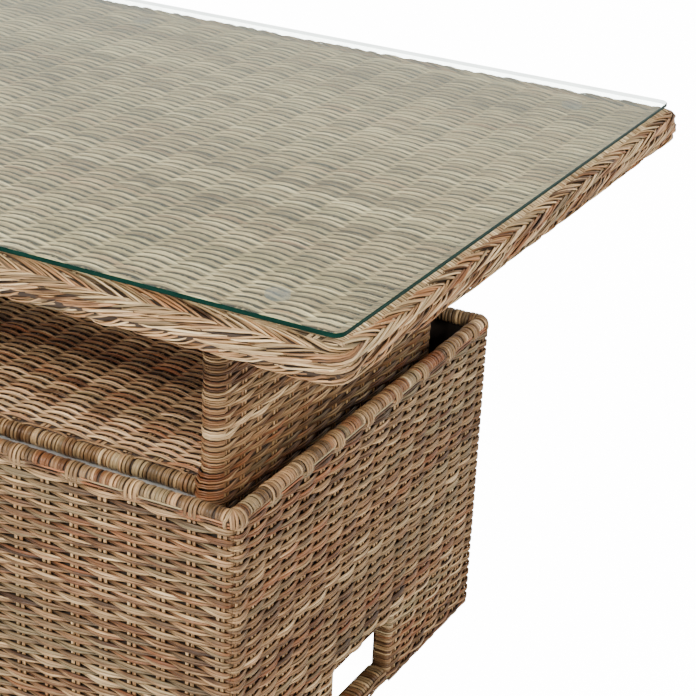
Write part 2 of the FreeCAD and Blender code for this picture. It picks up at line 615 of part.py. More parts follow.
# ---------------------------------------------------------------- lift, moving half
guide_rod = rod("guide_rod", d.rod_dia, d.wall_x, d.guide_y, d.rod_bot, plate_bot - d.rod_bot)
node(four("guide_rods_four", guide_rod), "guide_rods")
gr_, vr, pr = d.gas_rod / 2, d.valve_hole / 2, d.piston_dia / 2
gas_rod = spun(
    "gas_rod",
    [(0, d.piston_bot), (pr, d.piston_bot), (pr, d.piston_bot + d.piston_len), (gr_, d.piston_bot + d.piston_len), (gr_, d.gas_rod_top), (vr, d.gas_rod_top), (vr, d.valve_hole_bot), (0, d.valve_hole_bot)],
    d.wall_x,
    Dim.of(0),
)
node(gas_rod, "gas_rod_right")
node(mirror("gas_rod_l", gas_rod, X), "gas_rod_left")

# release head: a block on the rod's end with two ears that carry the lever
hy = d.head_half
head_blank = fuse(
    "head_blank",
    box("head_block", d.head_in, d.head_out, -hy, hy, d.head_bot, d.head_top),
    box("head_ear_front", d.head_in, d.ear_out, -hy - d.ear, -hy, d.head_bot, plate_bot),
    box("head_ear_back", d.head_in, d.ear_out, hy, hy + d.ear, d.head_bot, plate_bot),
)
head_bore = rod("head_bore", d.rod_seat, d.wall_x, 0, d.head_bot - 1, d.gas_rod_top - d.head_bot + 1)
head_valve = rod("head_valve_hole", d.valve_hole, d.wall_x, 0, d.gas_rod_top - 1, 12)
head_pivot = rod("head_pivot_hole", d.ear_hole, d.pivot_x, -hy - d.ear - 1, d.pivot_z, (hy + d.ear + 1) * 2, "Y")
# the ears' outer ends stop under the top, clear of the plate
head_trim = box("head_trim", d.wall_x + d.plate_wid / 2, d.ear_out + 1, -hy - d.ear - 1, hy + d.ear + 1, d.pivot_z + 8, plate_bot + 1)
head = cut("release_head", head_blank, group("head_cuts", head_bore, head_valve, head_pivot, head_trim))
node(head, "release_head_right")
node(mirror("release_head_l", head, X), "release_head_left")

pin_y = hy + d.ear
pin = fuse(
    "lever_pin",
    rod("lever_pin_shank", d.pivot_dia, d.pivot_x, -pin_y, d.pivot_z, pin_y * 2, "Y"),
    rod("lever_pin_head_a", d.pivot_dia + 3, d.pivot_x, -pin_y - 1.5, d.pivot_z, 1.5, "Y"),
    rod("lever_pin_head_b", d.pivot_dia + 3, d.pivot_x, pin_y, d.pivot_z, 1.5, "Y"),
)
node(pair("lever_pin_pair", pin, X), "lever_pins")

lever = body("lever")
s = sketch(lever, "lever_outline", "XZ_Plane")
px, pz = d.pivot_x, d.pivot_z
polygon(
    s,
    [
        (d.lever_tip, d.finger_low), (px - 10, d.finger_low), (px - 6, pz - 6.5), (px + 6, pz - 6.5), (px + 10, d.lever_low), (d.lever_end, d.lever_low),
        (d.lever_end, d.lever_high), (px + 10, d.lever_high), (px + 6, pz + 6.5), (px - 6, pz + 6.5), (px - 10, d.finger_high), (d.lever_tip, d.finger_high),
    ],
)
circle(s, px, pz, d.pivot_hole)
doc.recompute()
pad(lever, "lever_width", s, d.lever_wid)
bind(lever, "Placement.Base.y", d.lever_wid / 2)
node(lever, "release_lever_right")
node(mirror("lever_l", lever, X), "release_lever_left")

gw = d.grip_wid / 2
grip_box = box("grip_block", d.grip_in, d.lever_end + 3, -gw, gw, d.lever_low - d.grip_wall, d.lever_high + d.grip_wall)
doc.recompute()
grip_round = doc.addObject("Part::Fillet", "grip_rounded")
grip_round.Base = grip_box
grip_round.Edges = [(i + 1, d.grip_round.value, d.grip_round.value) for i in range(12)]
grip = cut("grip", grip_round, box("grip_slot", d.grip_in - 1, d.lever_end, -d.lever_wid / 2, d.lever_wid / 2, d.lever_low, d.lever_high))
node(grip, "lever_grip_right")
node(mirror("grip_l", grip, X), "lever_grip_left")

valve = rod("valve_pin", d.valve_dia, d.wall_x, 0, d.valve_bot, d.valve_top - d.valve_bot)
node(valve, "valve_pin_right")
node(mirror("valve_pin_l", valve, X), "valve_pin_left")

# ---------------------------------------------------------------- checks and files
doc.recompute()
bad = [o.Name for o in doc.Objects if "Invalid" in o.State or "Error" in o.State]
if bad:
    raise RuntimeError("failed objects: " + ", ".join(bad))
for o in NODES:
    if o.Shape.isNull() or not o.Shape.isValid() or not o.Shape.Solids:
        raise RuntimeError("bad shape: " + o.Label)
labels = [o.Label for o in NODES]
if len(set(labels)) != len(labels):
    raise RuntimeError("two pieces share a label")
os.makedirs("parts", exist_ok=True)
for o in NODES:
    o.Shape.exportStep("parts/%s.step" % o.Label)
    print("%-22s %2d solids %12.1f mm3" % (o.Label, len(o.Shape.Solids), o.Shape.Volume))
print(len(NODES), "pieces")
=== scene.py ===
import bpy
import json
import math
import numpy as np
from mathutils import Matrix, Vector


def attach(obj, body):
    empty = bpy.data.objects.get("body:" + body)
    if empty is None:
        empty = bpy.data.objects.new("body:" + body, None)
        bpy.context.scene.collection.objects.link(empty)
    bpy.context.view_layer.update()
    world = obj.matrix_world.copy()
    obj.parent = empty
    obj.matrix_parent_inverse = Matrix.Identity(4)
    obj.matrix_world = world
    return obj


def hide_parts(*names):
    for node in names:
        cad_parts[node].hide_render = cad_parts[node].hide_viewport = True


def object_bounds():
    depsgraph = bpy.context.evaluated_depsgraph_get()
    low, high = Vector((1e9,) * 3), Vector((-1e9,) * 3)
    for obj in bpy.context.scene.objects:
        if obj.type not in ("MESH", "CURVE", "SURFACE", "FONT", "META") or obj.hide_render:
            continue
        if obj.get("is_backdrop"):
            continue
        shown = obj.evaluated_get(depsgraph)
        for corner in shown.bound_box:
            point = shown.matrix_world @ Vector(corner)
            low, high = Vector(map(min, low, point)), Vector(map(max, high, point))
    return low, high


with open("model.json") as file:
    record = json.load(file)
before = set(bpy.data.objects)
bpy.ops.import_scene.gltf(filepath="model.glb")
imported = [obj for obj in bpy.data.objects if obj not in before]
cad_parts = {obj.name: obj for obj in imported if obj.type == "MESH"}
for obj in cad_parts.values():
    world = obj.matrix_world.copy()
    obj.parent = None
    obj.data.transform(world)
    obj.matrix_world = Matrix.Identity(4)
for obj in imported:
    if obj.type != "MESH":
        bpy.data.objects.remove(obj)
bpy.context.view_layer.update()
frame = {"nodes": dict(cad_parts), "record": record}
nodes = frame["nodes"]
PI = math.pi

# ---------------------------------------------------------------- camera
# The table is seen from its front right, a little above it. Lengths in mm.
az, el, roll = math.radians(27.2756), math.radians(24.4157), math.radians(2.7465)
cz = np.array([math.sin(az) * math.cos(el), -math.cos(az) * math.cos(el), math.sin(el)])
cx = np.cross([0, 0, 1], cz)
cx /= np.linalg.norm(cx)
cy = np.cross(cz, cx)
rx = cx * math.cos(roll) + cy * math.sin(roll)
ry = -cx * math.sin(roll) + cy * math.cos(roll)
cam_data = bpy.data.cameras.new("camera")
cam = bpy.data.objects.new("camera", cam_data)
bpy.context.scene.collection.objects.link(cam)
cam_data.sensor_width = 36.0
cam_data.lens = 2030.21 / 696 * 36.0
cam_data.clip_start, cam_data.clip_end = 0.05, 60
cam.matrix_world = Matrix((
    (rx[0], ry[0], cz[0], 1.50852),
    (rx[1], ry[1], cz[1], -1.90559),
    (rx[2], ry[2], cz[2], 1.46477),
    (0, 0, 0, 1)))
bpy.context.scene.camera = cam


# ---------------------------------------------------------------- node helpers
def new_mat(name):
    m = bpy.data.materials.new(name)
    m.use_nodes = True
    t = m.node_tree
    t.nodes.clear()
    out = t.nodes.new("ShaderNodeOutputMaterial")
    return m, t, out


def node(t, kind, **sets):
    n = t.nodes.new(kind)
    for k, v in sets.items():
        if k in n.inputs:
            n.inputs[k].default_value = v
        else:
            setattr(n, k, v)
    return n


def ramp(t, stops, interpolation="LINEAR"):
    n = t.nodes.new("ShaderNodeValToRGB")
    n.color_ramp.interpolation = interpolation
    e = n.color_ramp.elements
    while len(e) < len(stops):
        e.new(0.5)
    for x, (p, c) in zip(e, stops):
        x.position = p
        x.color = (*c, 1) if len(c) == 3 else c
    return n


def grey(x):
    return (x, x, x)


def math_node(t, op, a, b=None, clamp=False):
    n = t.nodes.new("ShaderNodeMath")
    n.operation = op
    n.use_clamp = clamp
    for i, v in enumerate((a, b)):
        if v is None:
            continue
        if isinstance(v, (int, float)):
            n.inputs[i].default_value = v
        else:
            t.links.new(v, n.inputs[i])
    return n.outputs[0]


def mix_rgb(t, fac, a, b, blend="MIX"):
    n = t.nodes.new("ShaderNodeMix")
    n.data_type = "RGBA"
    n.blend_type = blend
    for sock, v in ((n.inputs[0], fac), (n.inputs[6], a), (n.inputs[7], b)):
        if isinstance(v, (int, float)):
            sock.default_value = v
        elif isinstance(v, tuple):
            sock.default_value = (*v, 1)
        else:
            t.links.new(v, sock)
    return n.outputs[2]


def scaled(t, vec, s):
    n = t.nodes.new("ShaderNodeVectorMath")
    n.operation = "MULTIPLY"
    n.inputs[1].default_value = s
    t.links.new(vec, n.inputs[0])
    return n.outputs[0]


def noise(t, vec, scale=1.0, detail=3.0, rough=0.55):
    n = node(t, "ShaderNodeTexNoise", Scale=scale, Detail=detail, Roughness=rough)
    t.links.new(vec, n.inputs["Vector"])
    return n.outputs["Fac"]


# ---------------------------------------------------------------- materials
def wicker(name, stops, rust, sage, streak=0.66, rough=(0.30, 0.52), drift=1.15, crest_highlight=1.08, rim=0.13):
    """Resin strand: each strand has its own tone that drifts along it, rust and grey-green stretches, and fine streaks
    that run along the strand, with painted shading: a painted highlight along its crest and painted shade towards its
    edges and where it dives."""
    m, t, out = new_mat(name)
    st = node(t, "ShaderNodeAttribute", attribute_name="st")
    tint = node(t, "ShaderNodeAttribute", attribute_name="tint")
    sid = node(t, "ShaderNodeAttribute", attribute_name="sid")
    sep = node(t, "ShaderNodeSeparateXYZ")
    t.links.new(tint.outputs["Vector"], sep.inputs[0])
    shift = t.nodes.new("ShaderNodeVectorMath")
    shift.operation = "ADD"
    t.links.new(st.outputs["Vector"], shift.inputs[0])
    comb = node(t, "ShaderNodeCombineXYZ")
    t.links.new(sid.outputs["Fac"], comb.inputs[2])
    t.links.new(comb.outputs[0], shift.inputs[1])
    v = shift.outputs[0]
    fine = noise(t, scaled(t, v, (16, 1300, 9)), 1.0, 3.0, 0.6)
    broad = noise(t, scaled(t, v, (26, 330, 9)), 1.0, 2.0, 0.5)
    tone = math_node(t, "ADD", sep.outputs[0], math_node(t, "MULTIPLY", math_node(t, "SUBTRACT", broad, 0.5), drift), True)
    r = ramp(t, stops)
    t.links.new(tone, r.inputs[0])
    c = mix_rgb(t, sep.outputs[1], r.outputs[0], rust)
    c = mix_rgb(t, sep.outputs[2], c, sage)
    dark = ramp(t, [(0.34, grey(1.0 - streak)), (0.49, grey(0.86)), (0.60, grey(1.0)), (0.74, grey(1.28))])
    t.links.new(fine, dark.inputs[0])
    c = mix_rgb(t, 1.0, c, dark.outputs[0], "MULTIPLY")
    # painted shading from the edge attribute: crest brightens each strand's crest (painted highlight), rim darkens its
    # edges and dives (painted shade)
    edge = node(t, "ShaderNodeAttribute", attribute_name="edge")
    crest_and_edge_shading = ramp(t, [(0.50, grey(crest_highlight)), (0.79, (0.64, 0.60, 0.56)), (1.0, (rim, rim * 0.8, rim * 0.65))])
    t.links.new(edge.outputs["Fac"], crest_and_edge_shading.inputs[0])
    c = mix_rgb(t, 1.0, c, crest_and_edge_shading.outputs[0], "MULTIPLY")
    p = node(t, "ShaderNodeBsdfPrincipled")
    p.inputs["Specular IOR Level"].default_value = 0.24
    rr = ramp(t, [(0.25, grey(rough[1])), (0.8, grey(rough[0]))])
    t.links.new(fine, rr.inputs[0])
    t.links.new(c, p.inputs["Base Color"])
    t.links.new(rr.outputs[0], p.inputs["Roughness"])
    b = node(t, "ShaderNodeBump", Strength=0.35, Distance=0.0004)
    t.links.new(fine, b.inputs["Height"])
    t.links.new(b.outputs[0], p.inputs["Normal"])
    t.links.new(p.outputs[0], out.inputs[0])
    return m


def plain(name, a, b, scale=(40, 40, 40), rough=(0.4, 0.6), metallic=0.0, bump=0.1, detail=4.0, spec=0.5):
    """A moulded, painted or drawn surface: two close tones in a fine noise, with matching roughness."""
    m, t, out = new_mat(name)
    tc = node(t, "ShaderNodeTexCoord")
    v = scaled(t, tc.outputs["Object"], scale)
    n1 = noise(t, v, 1.0, detail, 0.6)
    n2 = noise(t, scaled(t, tc.outputs["Object"], (9, 9, 9)), 1.0, 2.0, 0.5)
    r = ramp(t, [(0.3, a), (0.7, b)])
    t.links.new(math_node(t, "ADD", math_node(t, "MULTIPLY", n1, 0.6), math_node(t, "MULTIPLY", n2, 0.4)), r.inputs[0])
    p = node(t, "ShaderNodeBsdfPrincipled")
    p.inputs["Metallic"].default_value = metallic
    p.inputs["Specular IOR Level"].default_value = spec
    rr = ramp(t, [(0.3, grey(rough[0])), (0.7, grey(rough[1]))])
    t.links.new(n1, rr.inputs[0])
    t.links.new(r.outputs[0], p.inputs["Base Color"])
    t.links.new(rr.outputs[0], p.inputs["Roughness"])
    bp = node(t, "ShaderNodeBump", Strength=bump, Distance=0.0003)
    t.links.new(n1, bp.inputs["Height"])
    t.links.new(bp.outputs[0], p.inputs["Normal"])
    t.links.new(p.outputs[0], out.inputs[0])
    return m


STRAW = [(0.0, (0.062, 0.029, 0.012)), (0.2, (0.105, 0.049, 0.020)), (0.42, (0.217, 0.116, 0.051)),
         (0.64, (0.395, 0.236, 0.110)), (0.85, (0.67, 0.440, 0.222)), (1.0, (0.93, 0.68, 0.39))]
RUST = (0.41, 0.138, 0.052)
SAGE = (0.31, 0.238, 0.112)
PALE = [(0.0, (0.035, 0.014, 0.005)), (0.2, (0.125, 0.060, 0.024)), (0.42, (0.32, 0.180, 0.080)),
        (0.66, (0.58, 0.355, 0.168)), (0.88, (0.83, 0.570, 0.300)), (1.0, (0.93, 0.71, 0.42))]
GREYED = [(0.0, (0.045, 0.021, 0.008)), (0.22, (0.150, 0.080, 0.036)), (0.45, (0.33, 0.210, 0.108)),
          (0.7, (0.57, 0.400, 0.222)), (1.0, (0.86, 0.66, 0.42))]
SHELF = [(0.0, (0.034, 0.014, 0.006)), (0.22, (0.115, 0.057, 0.026)), (0.45, (0.25, 0.146, 0.072)),
         (0.7, (0.46, 0.290, 0.150)), (1.0, (0.82, 0.57, 0.32))]
# crest and rim set each material's painted crest highlight and painted edge shade; the shelf's copy has the strongest
# highlight, brightening the shelf that lies in the top's shade
m_body = wicker("wicker_body_strands", STRAW, RUST, (0.40, 0.325, 0.175))
m_sheet = wicker("wicker_sheet_strands", GREYED, (0.36, 0.135, 0.055), SAGE, 0.8, (0.30, 0.52), 1.1, 1.40, 0.14)
m_shelf = wicker("wicker_shelf_strands", SHELF, (0.34, 0.115, 0.044), SAGE, 0.78, (0.30, 0.52), 1.1, 1.74, 0.05)
m_braid = wicker("wicker_braid_strands", PALE, (0.50, 0.205, 0.080), (0.44, 0.35, 0.19), 0.8, (0.34, 0.55), 1.2, 1.22, 0.035)

m_alu = plain("aluminium_tube", (0.42, 0.42, 0.41), (0.56, 0.56, 0.54), (260, 260, 18), (0.42, 0.58), 0.45, 0.12)
m_steel = plain("bright_steel", (0.44, 0.44, 0.45), (0.64, 0.64, 0.64), (200, 200, 30), (0.16, 0.32), 1.0, 0.06)
m_black = plain("black_steel", (0.012, 0.012, 0.013), (0.030, 0.030, 0.031), (300, 300, 300), (0.35, 0.5), 0.0, 0.3)
m_nylon = plain("white_nylon", (0.66, 0.66, 0.62), (0.80, 0.80, 0.76), (120, 120, 120), (0.35, 0.5), 0.0, 0.05)
m_glide = plain("black_plastic", (0.014, 0.014, 0.014), (0.034, 0.034, 0.033), (220, 220, 220), (0.45, 0.65), 0.0, 0.25)
m_grip = plain("grip_rubber", (0.016, 0.016, 0.017), (0.040, 0.040, 0.040), (500, 500, 500), (0.6, 0.85), 0.0, 0.5)


def pad_mat():
    """Clear soft pad: a faint bluish haze."""
    m, t, out = new_mat("clear_silicone")
    tc = node(t, "ShaderNodeTexCoord")
    n1 = noise(t, scaled(t, tc.outputs["Object"], (90, 90, 90)), 1.0, 2.0, 0.5)
    r = ramp(t, [(0.3, (0.36, 0.36, 0.38)), (0.7, (0.47, 0.47, 0.50))])
    t.links.new(n1, r.inputs[0])
    p = node(t, "ShaderNodeBsdfPrincipled", Roughness=0.3)
    t.links.new(r.outputs[0], p.inputs["Base Color"])
    tr = node(t, "ShaderNodeBsdfTransparent")
    fr = ramp(t, [(0.3, grey(0.16)), (0.7, grey(0.24))])
    t.links.new(n1, fr.inputs[0])
    mx = node(t, "ShaderNodeMixShader")
    t.links.new(fr.outputs[0], mx.inputs[0])
    t.links.new(tr.outputs[0], mx.inputs[1])
    t.links.new(p.outputs[0], mx.inputs[2])
    t.links.new(mx.outputs[0], out.inputs[0])
    return m


m_pad = pad_mat()


def lining_mat():
    """Black woven lining cloth."""
    m, t, out = new_mat("lining_cloth")
    tc = node(t, "ShaderNodeTexCoord")
    wa = node(t, "ShaderNodeTexWave", Scale=220.0, Distortion=0.6, bands_direction="Z")
    wb = node(t, "ShaderNodeTexWave", Scale=220.0, Distortion=0.6, bands_direction="DIAGONAL")
    for w in (wa, wb):
        t.links.new(tc.outputs["Object"], w.inputs["Vector"])
    c = mix_rgb(t, 0.5, wa.outputs["Color"], wb.outputs["Color"])
    r = ramp(t, [(0.2, (0.014, 0.009, 0.006)), (0.8, (0.038, 0.026, 0.018))])
    t.links.new(c, r.inputs[0])
    p = node(t, "ShaderNodeBsdfPrincipled", Roughness=0.85)
    t.links.new(r.outputs[0], p.inputs["Base Color"])
    b = node(t, "ShaderNodeBump", Strength=0.3, Distance=0.0003)
    t.links.new(c, b.inputs["Height"])
    t.links.new(b.outputs[0], p.inputs["Normal"])
    t.links.new(p.outputs[0], out.inputs[0])
    return m


m_lining = lining_mat()


def gap_shade_mat():
    """A dark filling behind the strands: painted shade for the gaps between them."""
    return plain("strand_gap_shade", (0.018, 0.009, 0.004), (0.048, 0.025, 0.011), (150, 150, 150), (0.7, 0.85), 0.0, 0.4)


m_gap_shade = gap_shade_mat()
# painted shade: the dark core seen between the woven sheets' over and under strands
m_sheet_gap_shade = plain("sheet_gap_shade", (0.050, 0.031, 0.015), (0.095, 0.060, 0.030), (150, 150, 150), (0.7, 0.85), 0.0, 0.4)


def glass_face_mat():
    m, t, out = new_mat("glass_face")
    tc = node(t, "ShaderNodeTexCoord")
    n1 = noise(t, scaled(t, tc.outputs["Object"], (2.2, 2.2, 2.2)), 1.0, 2.0, 0.5)
    tr = node(t, "ShaderNodeBsdfTransparent")
    rc = ramp(t, [(0.3, (0.936, 0.977, 0.944)), (0.7, (0.944, 0.982, 0.953))])
    t.links.new(n1, rc.inputs[0])
    t.links.new(rc.outputs[0], tr.inputs["Color"])
    gl = node(t, "ShaderNodeBsdfGlossy", Roughness=0.03)
    gl.inputs["Color"].default_value = (0.97, 1.0, 0.90, 1)
    lw = node(t, "ShaderNodeLayerWeight", Blend=0.5)
    fac = math_node(t, "ADD", math_node(t, "MULTIPLY", math_node(t, "POWER", lw.outputs["Facing"], 6.0), 1.6), 0.012, True)
    mx = node(t, "ShaderNodeMixShader")
    t.links.new(fac, mx.inputs[0])
    t.links.new(tr.outputs[0], mx.inputs[1])
    t.links.new(gl.outputs[0], mx.inputs[2])
    t.links.new(mx.outputs[0], out.inputs[0])
    return m


def glass_edge_mat():
    """The cut edge, where light comes from inside the sheet: deep bottle green."""
    m, t, out = new_mat("glass_edge")
    tc = node(t, "ShaderNodeTexCoord")
    n1 = noise(t, scaled(t, tc.outputs["Object"], (30, 30, 260)), 1.0, 3.0, 0.6)
    r = ramp(t, [(0.25, (0.0012, 0.0135, 0.0094)), (0.75, (0.0034, 0.029, 0.0205))])
    t.links.new(n1, r.inputs[0])
    p = node(t, "ShaderNodeBsdfPrincipled", Roughness=0.2)
    p.inputs["Specular IOR Level"].default_value = 0.03
    t.links.new(r.outputs[0], p.inputs["Base Color"])
    tr = node(t, "ShaderNodeBsdfTransparent")
    pale = ramp(t, [(0.25, (0.25, 0.27, 0.265)), (0.75, (0.33, 0.35, 0.345))])
    t.links.new(n1, pale.inputs[0])
    t.links.new(pale.outputs[0], tr.inputs["Color"])
    geo = node(t, "ShaderNodeNewGeometry")
    mx = node(t, "ShaderNodeMixShader")
    t.links.new(geo.outputs["Backfacing"], mx.inputs[0])
    t.links.new(p.outputs[0], mx.inputs[1])
    t.links.new(tr.outputs[0], mx.inputs[2])
    t.links.new(mx.outputs[0], out.inputs[0])
    return m


# ---------------------------------------------------------------- strands
SECTION = {
    "flat": np.array([(1, -0.62), (0.64, 0.84), (-0.64, 0.84), (-1, -0.62)]),
    "half": np.array([(1, -0.35), (0.80, 0.55), (0.28, 1.0), (-0.28, 1.0), (-0.80, 0.55), (-1, -0.35)]),
    "oval": np.array([(1, 0), (0.56, 0.86), (-0.56, 0.86), (-1, 0), (-0.56, -0.86), (0.56, -0.86)]),
}


def smooth_noise(u, rng, step):
    """A smooth random line from 0 to 1 with knots every step mm."""
    lo, hi = float(np.min(u)), float(np.max(u))
    k = rng.random(int((hi - lo) / step) + 4)
    x = (np.asarray(u) - lo) / step + rng.random() * 0.999
    i = np.floor(x).astype(int)
    f = x - i
    f = f * f * (3 - 2 * f)
    return k[i] * (1 - f) + k[i + 1] * f


class Bands:
    """Smooth random field over a woven face: neighbouring rows come from the same reel and share its colour."""

    def __init__(self, seed, su, sz):
        self.k = np.random.default_rng(seed).random((97, 61))
        self.su, self.sz = su, sz

    def at(self, u, z):
        x = np.asarray(u, float) / self.su + 48.0
        y = np.broadcast_to(np.asarray(z, float) / self.sz + 30.0, x.shape)
        i, j = np.floor(x).astype(int), np.floor(y).astype(int)
        fx, fy = x - i, y - j
        fx, fy = fx * fx * (3 - 2 * fx), fy * fy * (3 - 2 * fy)
        k = self.k
        i0, i1, j0, j1 = i % 97, (i + 1) % 97, j % 61, (j + 1) % 61
        return (k[i0, j0] * (1 - fx) + k[i1, j0] * fx) * (1 - fy) + (k[i0, j1] * (1 - fx) + k[i1, j1] * fx) * fy


def step01(x, a, b):
    x = np.clip((x - a) / (b - a), 0, 1)
    return x * x * (3 - 2 * x)


class Strands:
    """Collects strands and makes one mesh of them, with their own coordinates and tints."""

    def __init__(self, seed, tone=0.5, spread=0.2, rust=0.24, sage=0.25):
        self.rng = np.random.default_rng(seed)
        self.tone, self.spread, self.rust, self.sage = tone, spread, rust, sage
        self.V, self.Q, self.ST, self.TI, self.SID, self.E, self.rect, self.uvq, self.M = [], [], [], [], [], [], [], [], []
        self.n = 0
        self.bands = [Bands(seed + 900 + i, su, sz) for i, (su, sz) in enumerate(((260, 34), (150, 22), (190, 30)))]

    def tint(self, s, at=None):
        g = self.rng
        tone = self.tone + 0.8 * self.spread * np.clip(g.normal(), -2.2, 2.2) + 0.34 * (smooth_noise(s, g, 110) - 0.5) + 0.22 * (smooth_noise(s, g, 32) - 0.5)
        nr, ns = smooth_noise(s, g, 95), smooth_noise(s, g, 130)
        if at is not None:
            b = [f.at(*at) for f in self.bands]
            tone = tone + 0.34 * (b[0] - 0.5)
            nr, ns = 0.6 * nr + 0.4 * b[1] + 0.06, 0.6 * ns + 0.4 * b[2] + 0.06
        red = step01(nr, 1 - self.rust - 0.12, 1 - self.rust + 0.22) * (0.35 + 0.6 * g.random())
        sage = step01(ns, 1 - self.sage - 0.1, 1 - self.sage + 0.25) * (0.3 + 0.5 * g.random()) * (1 - red)
        return np.stack([np.clip(tone, 0, 1), red, sage], -1)

    def add(self, P, N, a, b, kind="flat", tint=None, mat=0, s0=None, deep=None, shade=None):
        """One strand along P (mm), N away from the surface, a half width, b half thickness, deep the painted shade
        where it dives, shade the painted shading round its section (painted shade towards the edges, painted highlight
        at the crest)."""
        P, N = np.asarray(P, float), np.asarray(N, float)
        n = len(P)
        T = np.gradient(P, axis=0)
        T /= np.maximum(np.linalg.norm(T, axis=1, keepdims=True), 1e-9)
        B = np.cross(T, N)
        B /= np.maximum(np.linalg.norm(B, axis=1, keepdims=True), 1e-9)
        M = np.cross(B, T)
        sec = SECTION[kind]
        k = len(sec)
        a = np.broadcast_to(np.asarray(a, float), (n,))
        b = np.broadcast_to(np.asarray(b, float), (n,))
        off = sec[None, :, 0:1] * a[:, None, None] * B[:, None, :] + sec[None, :, 1:2] * b[:, None, None] * M[:, None, :]
        self.V.append((P[:, None, :] + off).reshape(-1, 3))
        seg = np.linalg.norm(np.diff(P, axis=0), axis=1)
        s = np.concatenate([[0], np.cumsum(seg)])
        L = s[-1]
        if s0 is None:
            s0 = self.rng.random() * 3000
        st = np.empty((n, k, 3))
        st[..., 0] = (s + s0)[:, None]
        st[..., 1] = sec[None, :, 0] * a[:, None]
        st[..., 2] = sec[None, :, 1] * b[:, None]
        self.ST.append(st.reshape(-1, 3) * 0.001)
        ti = self.tint(s) if tint is None else np.broadcast_to(tint, (n, 3))
        self.TI.append(np.repeat(ti, k, axis=0))
        self.SID.append(np.full(n * k, self.rng.random() * 9))
        # edge: painted shading across the section, low at the crest (painted highlight), high towards the edges and
        # where the strand dives (painted shade)
        e = np.tile(np.abs(sec[:, 0]) * (0.90 if kind == "half" else 1.0) if shade is None else shade, n)
        self.E.append(e if deep is None else e + (1 - e) * 0.8 * np.repeat(deep, k))
        i, j = np.meshgrid(np.arange(n - 1), np.arange(k), indexing="ij")
        j2 = (j + 1) % k
        q = np.stack([i * k + j, (i + 1) * k + j, (i + 1) * k + j2, i * k + j2], -1).reshape(-1, 4)
        u0, u1 = s[i] / L, s[i + 1] / L
        v0, v1 = j / k, (j + 1) / k
        uv = np.stack([np.stack([u0, v0], -1), np.stack([u1, v0], -1), np.stack([u1, v1], -1), np.stack([u0, v1], -1)], -2).reshape(-1, 4, 2)
        caps, cuv = [], []
        for c in range(1, k - 2, 2):
            order = (0, c, c + 1, c + 2)
            caps.append([x for x in order])
            caps.append([(n - 1) * k + x for x in reversed(order)])
            cuv.append([(0.0, x / k) for x in order])
            cuv.append([(1.0, x / k) for x in reversed(order)])
        q = np.concatenate([q, np.array(caps)])
        uv = np.concatenate([uv, np.array(cuv)])
        self.Q.append(q + self.n)
        self.uvq.append(uv)
        self.rect.append((L, 2 * (2 * float(a.mean()) + 1.4 * float(b.mean())), len(q)))
        self.M.append(np.full(len(q), mat))
        self.n += n * k

    def grid(self, G, mat=0, tint=(0.2, 0, 0), closed=False):
        """A plain sheet or tube of faces through the grid G (rows, columns, 3), in mm."""
        r, c, _ = G.shape
        self.V.append(G.reshape(-1, 3))
        st = np.zeros((r, c, 3))
        st[..., 0] = np.arange(r)[:, None] * 5.0
        st[..., 1] = np.arange(c)[None, :] * 3.0
        self.ST.append(st.reshape(-1, 3) * 0.001)
        self.TI.append(np.broadcast_to(np.array(tint, float), (r * c, 3)))
        self.SID.append(np.full(r * c, self.rng.random() * 9))
        self.E.append(np.zeros(r * c))
        cols = c if closed else c - 1
        i, j = np.meshgrid(np.arange(r - 1), np.arange(cols), indexing="ij")
        j2 = (j + 1) % c
        q = np.stack([i * c + j, (i + 1) * c + j, (i + 1) * c + j2, i * c + j2], -1).reshape(-1, 4)
        u0, u1, v0, v1 = i / (r - 1), (i + 1) / (r - 1), j / cols, (j + 1) / cols
        uv = np.stack([np.stack([u0, v0], -1), np.stack([u1, v0], -1), np.stack([u1, v1], -1), np.stack([u0, v1], -1)], -2).reshape(-1, 4, 2)
        self.Q.append(q + self.n)
        self.uvq.append(uv)
        self.rect.append((200.0, 40.0, len(q)))
        self.M.append(np.full(len(q), mat))
        self.n += r * c

    def atlas(self):
        """Where each strand's strip lies in the unit square."""
        R = np.array([(l, c) for l, c, _ in self.rect])
        order = np.lexsort((-R[:, 0], -np.round(R[:, 1])))
        W = max(R[:, 0].max() * 1.02, math.sqrt((R[:, 0] * R[:, 1]).sum()) * 1.02)
        while True:
            pad = W * 0.0012
            at, x, y, h = np.zeros_like(R), 0.0, 0.0, 0.0
            for i in order:
                l, c = R[i]
                if x + l + pad > W:
                    x, y, h = 0.0, y + h, 0.0
                at[i] = x + pad / 2, y + pad / 2
                x += l + pad
                h = max(h, c + pad)
            if y + h <= W:
                return at / W, R / W
            W *= 1.03

    def build(self, name, mats, body, slot, *replaced):
        V = np.concatenate(self.V) * 0.001
        Q = np.concatenate(self.Q)
        me = bpy.data.meshes.new(name)
        me.vertices.add(len(V))
        me.vertices.foreach_set("co", V.astype(np.float32).ravel())
        me.loops.add(Q.size)
        me.loops.foreach_set("vertex_index", Q.astype(np.int32).ravel())
        me.polygons.add(len(Q))
        me.polygons.foreach_set("loop_start", np.arange(0, Q.size, 4, dtype=np.int32))
        for m in mats:
            me.materials.append(m)
        me.polygons.foreach_set("material_index", np.concatenate(self.M).astype(np.int32))
        me.update(calc_edges=True)
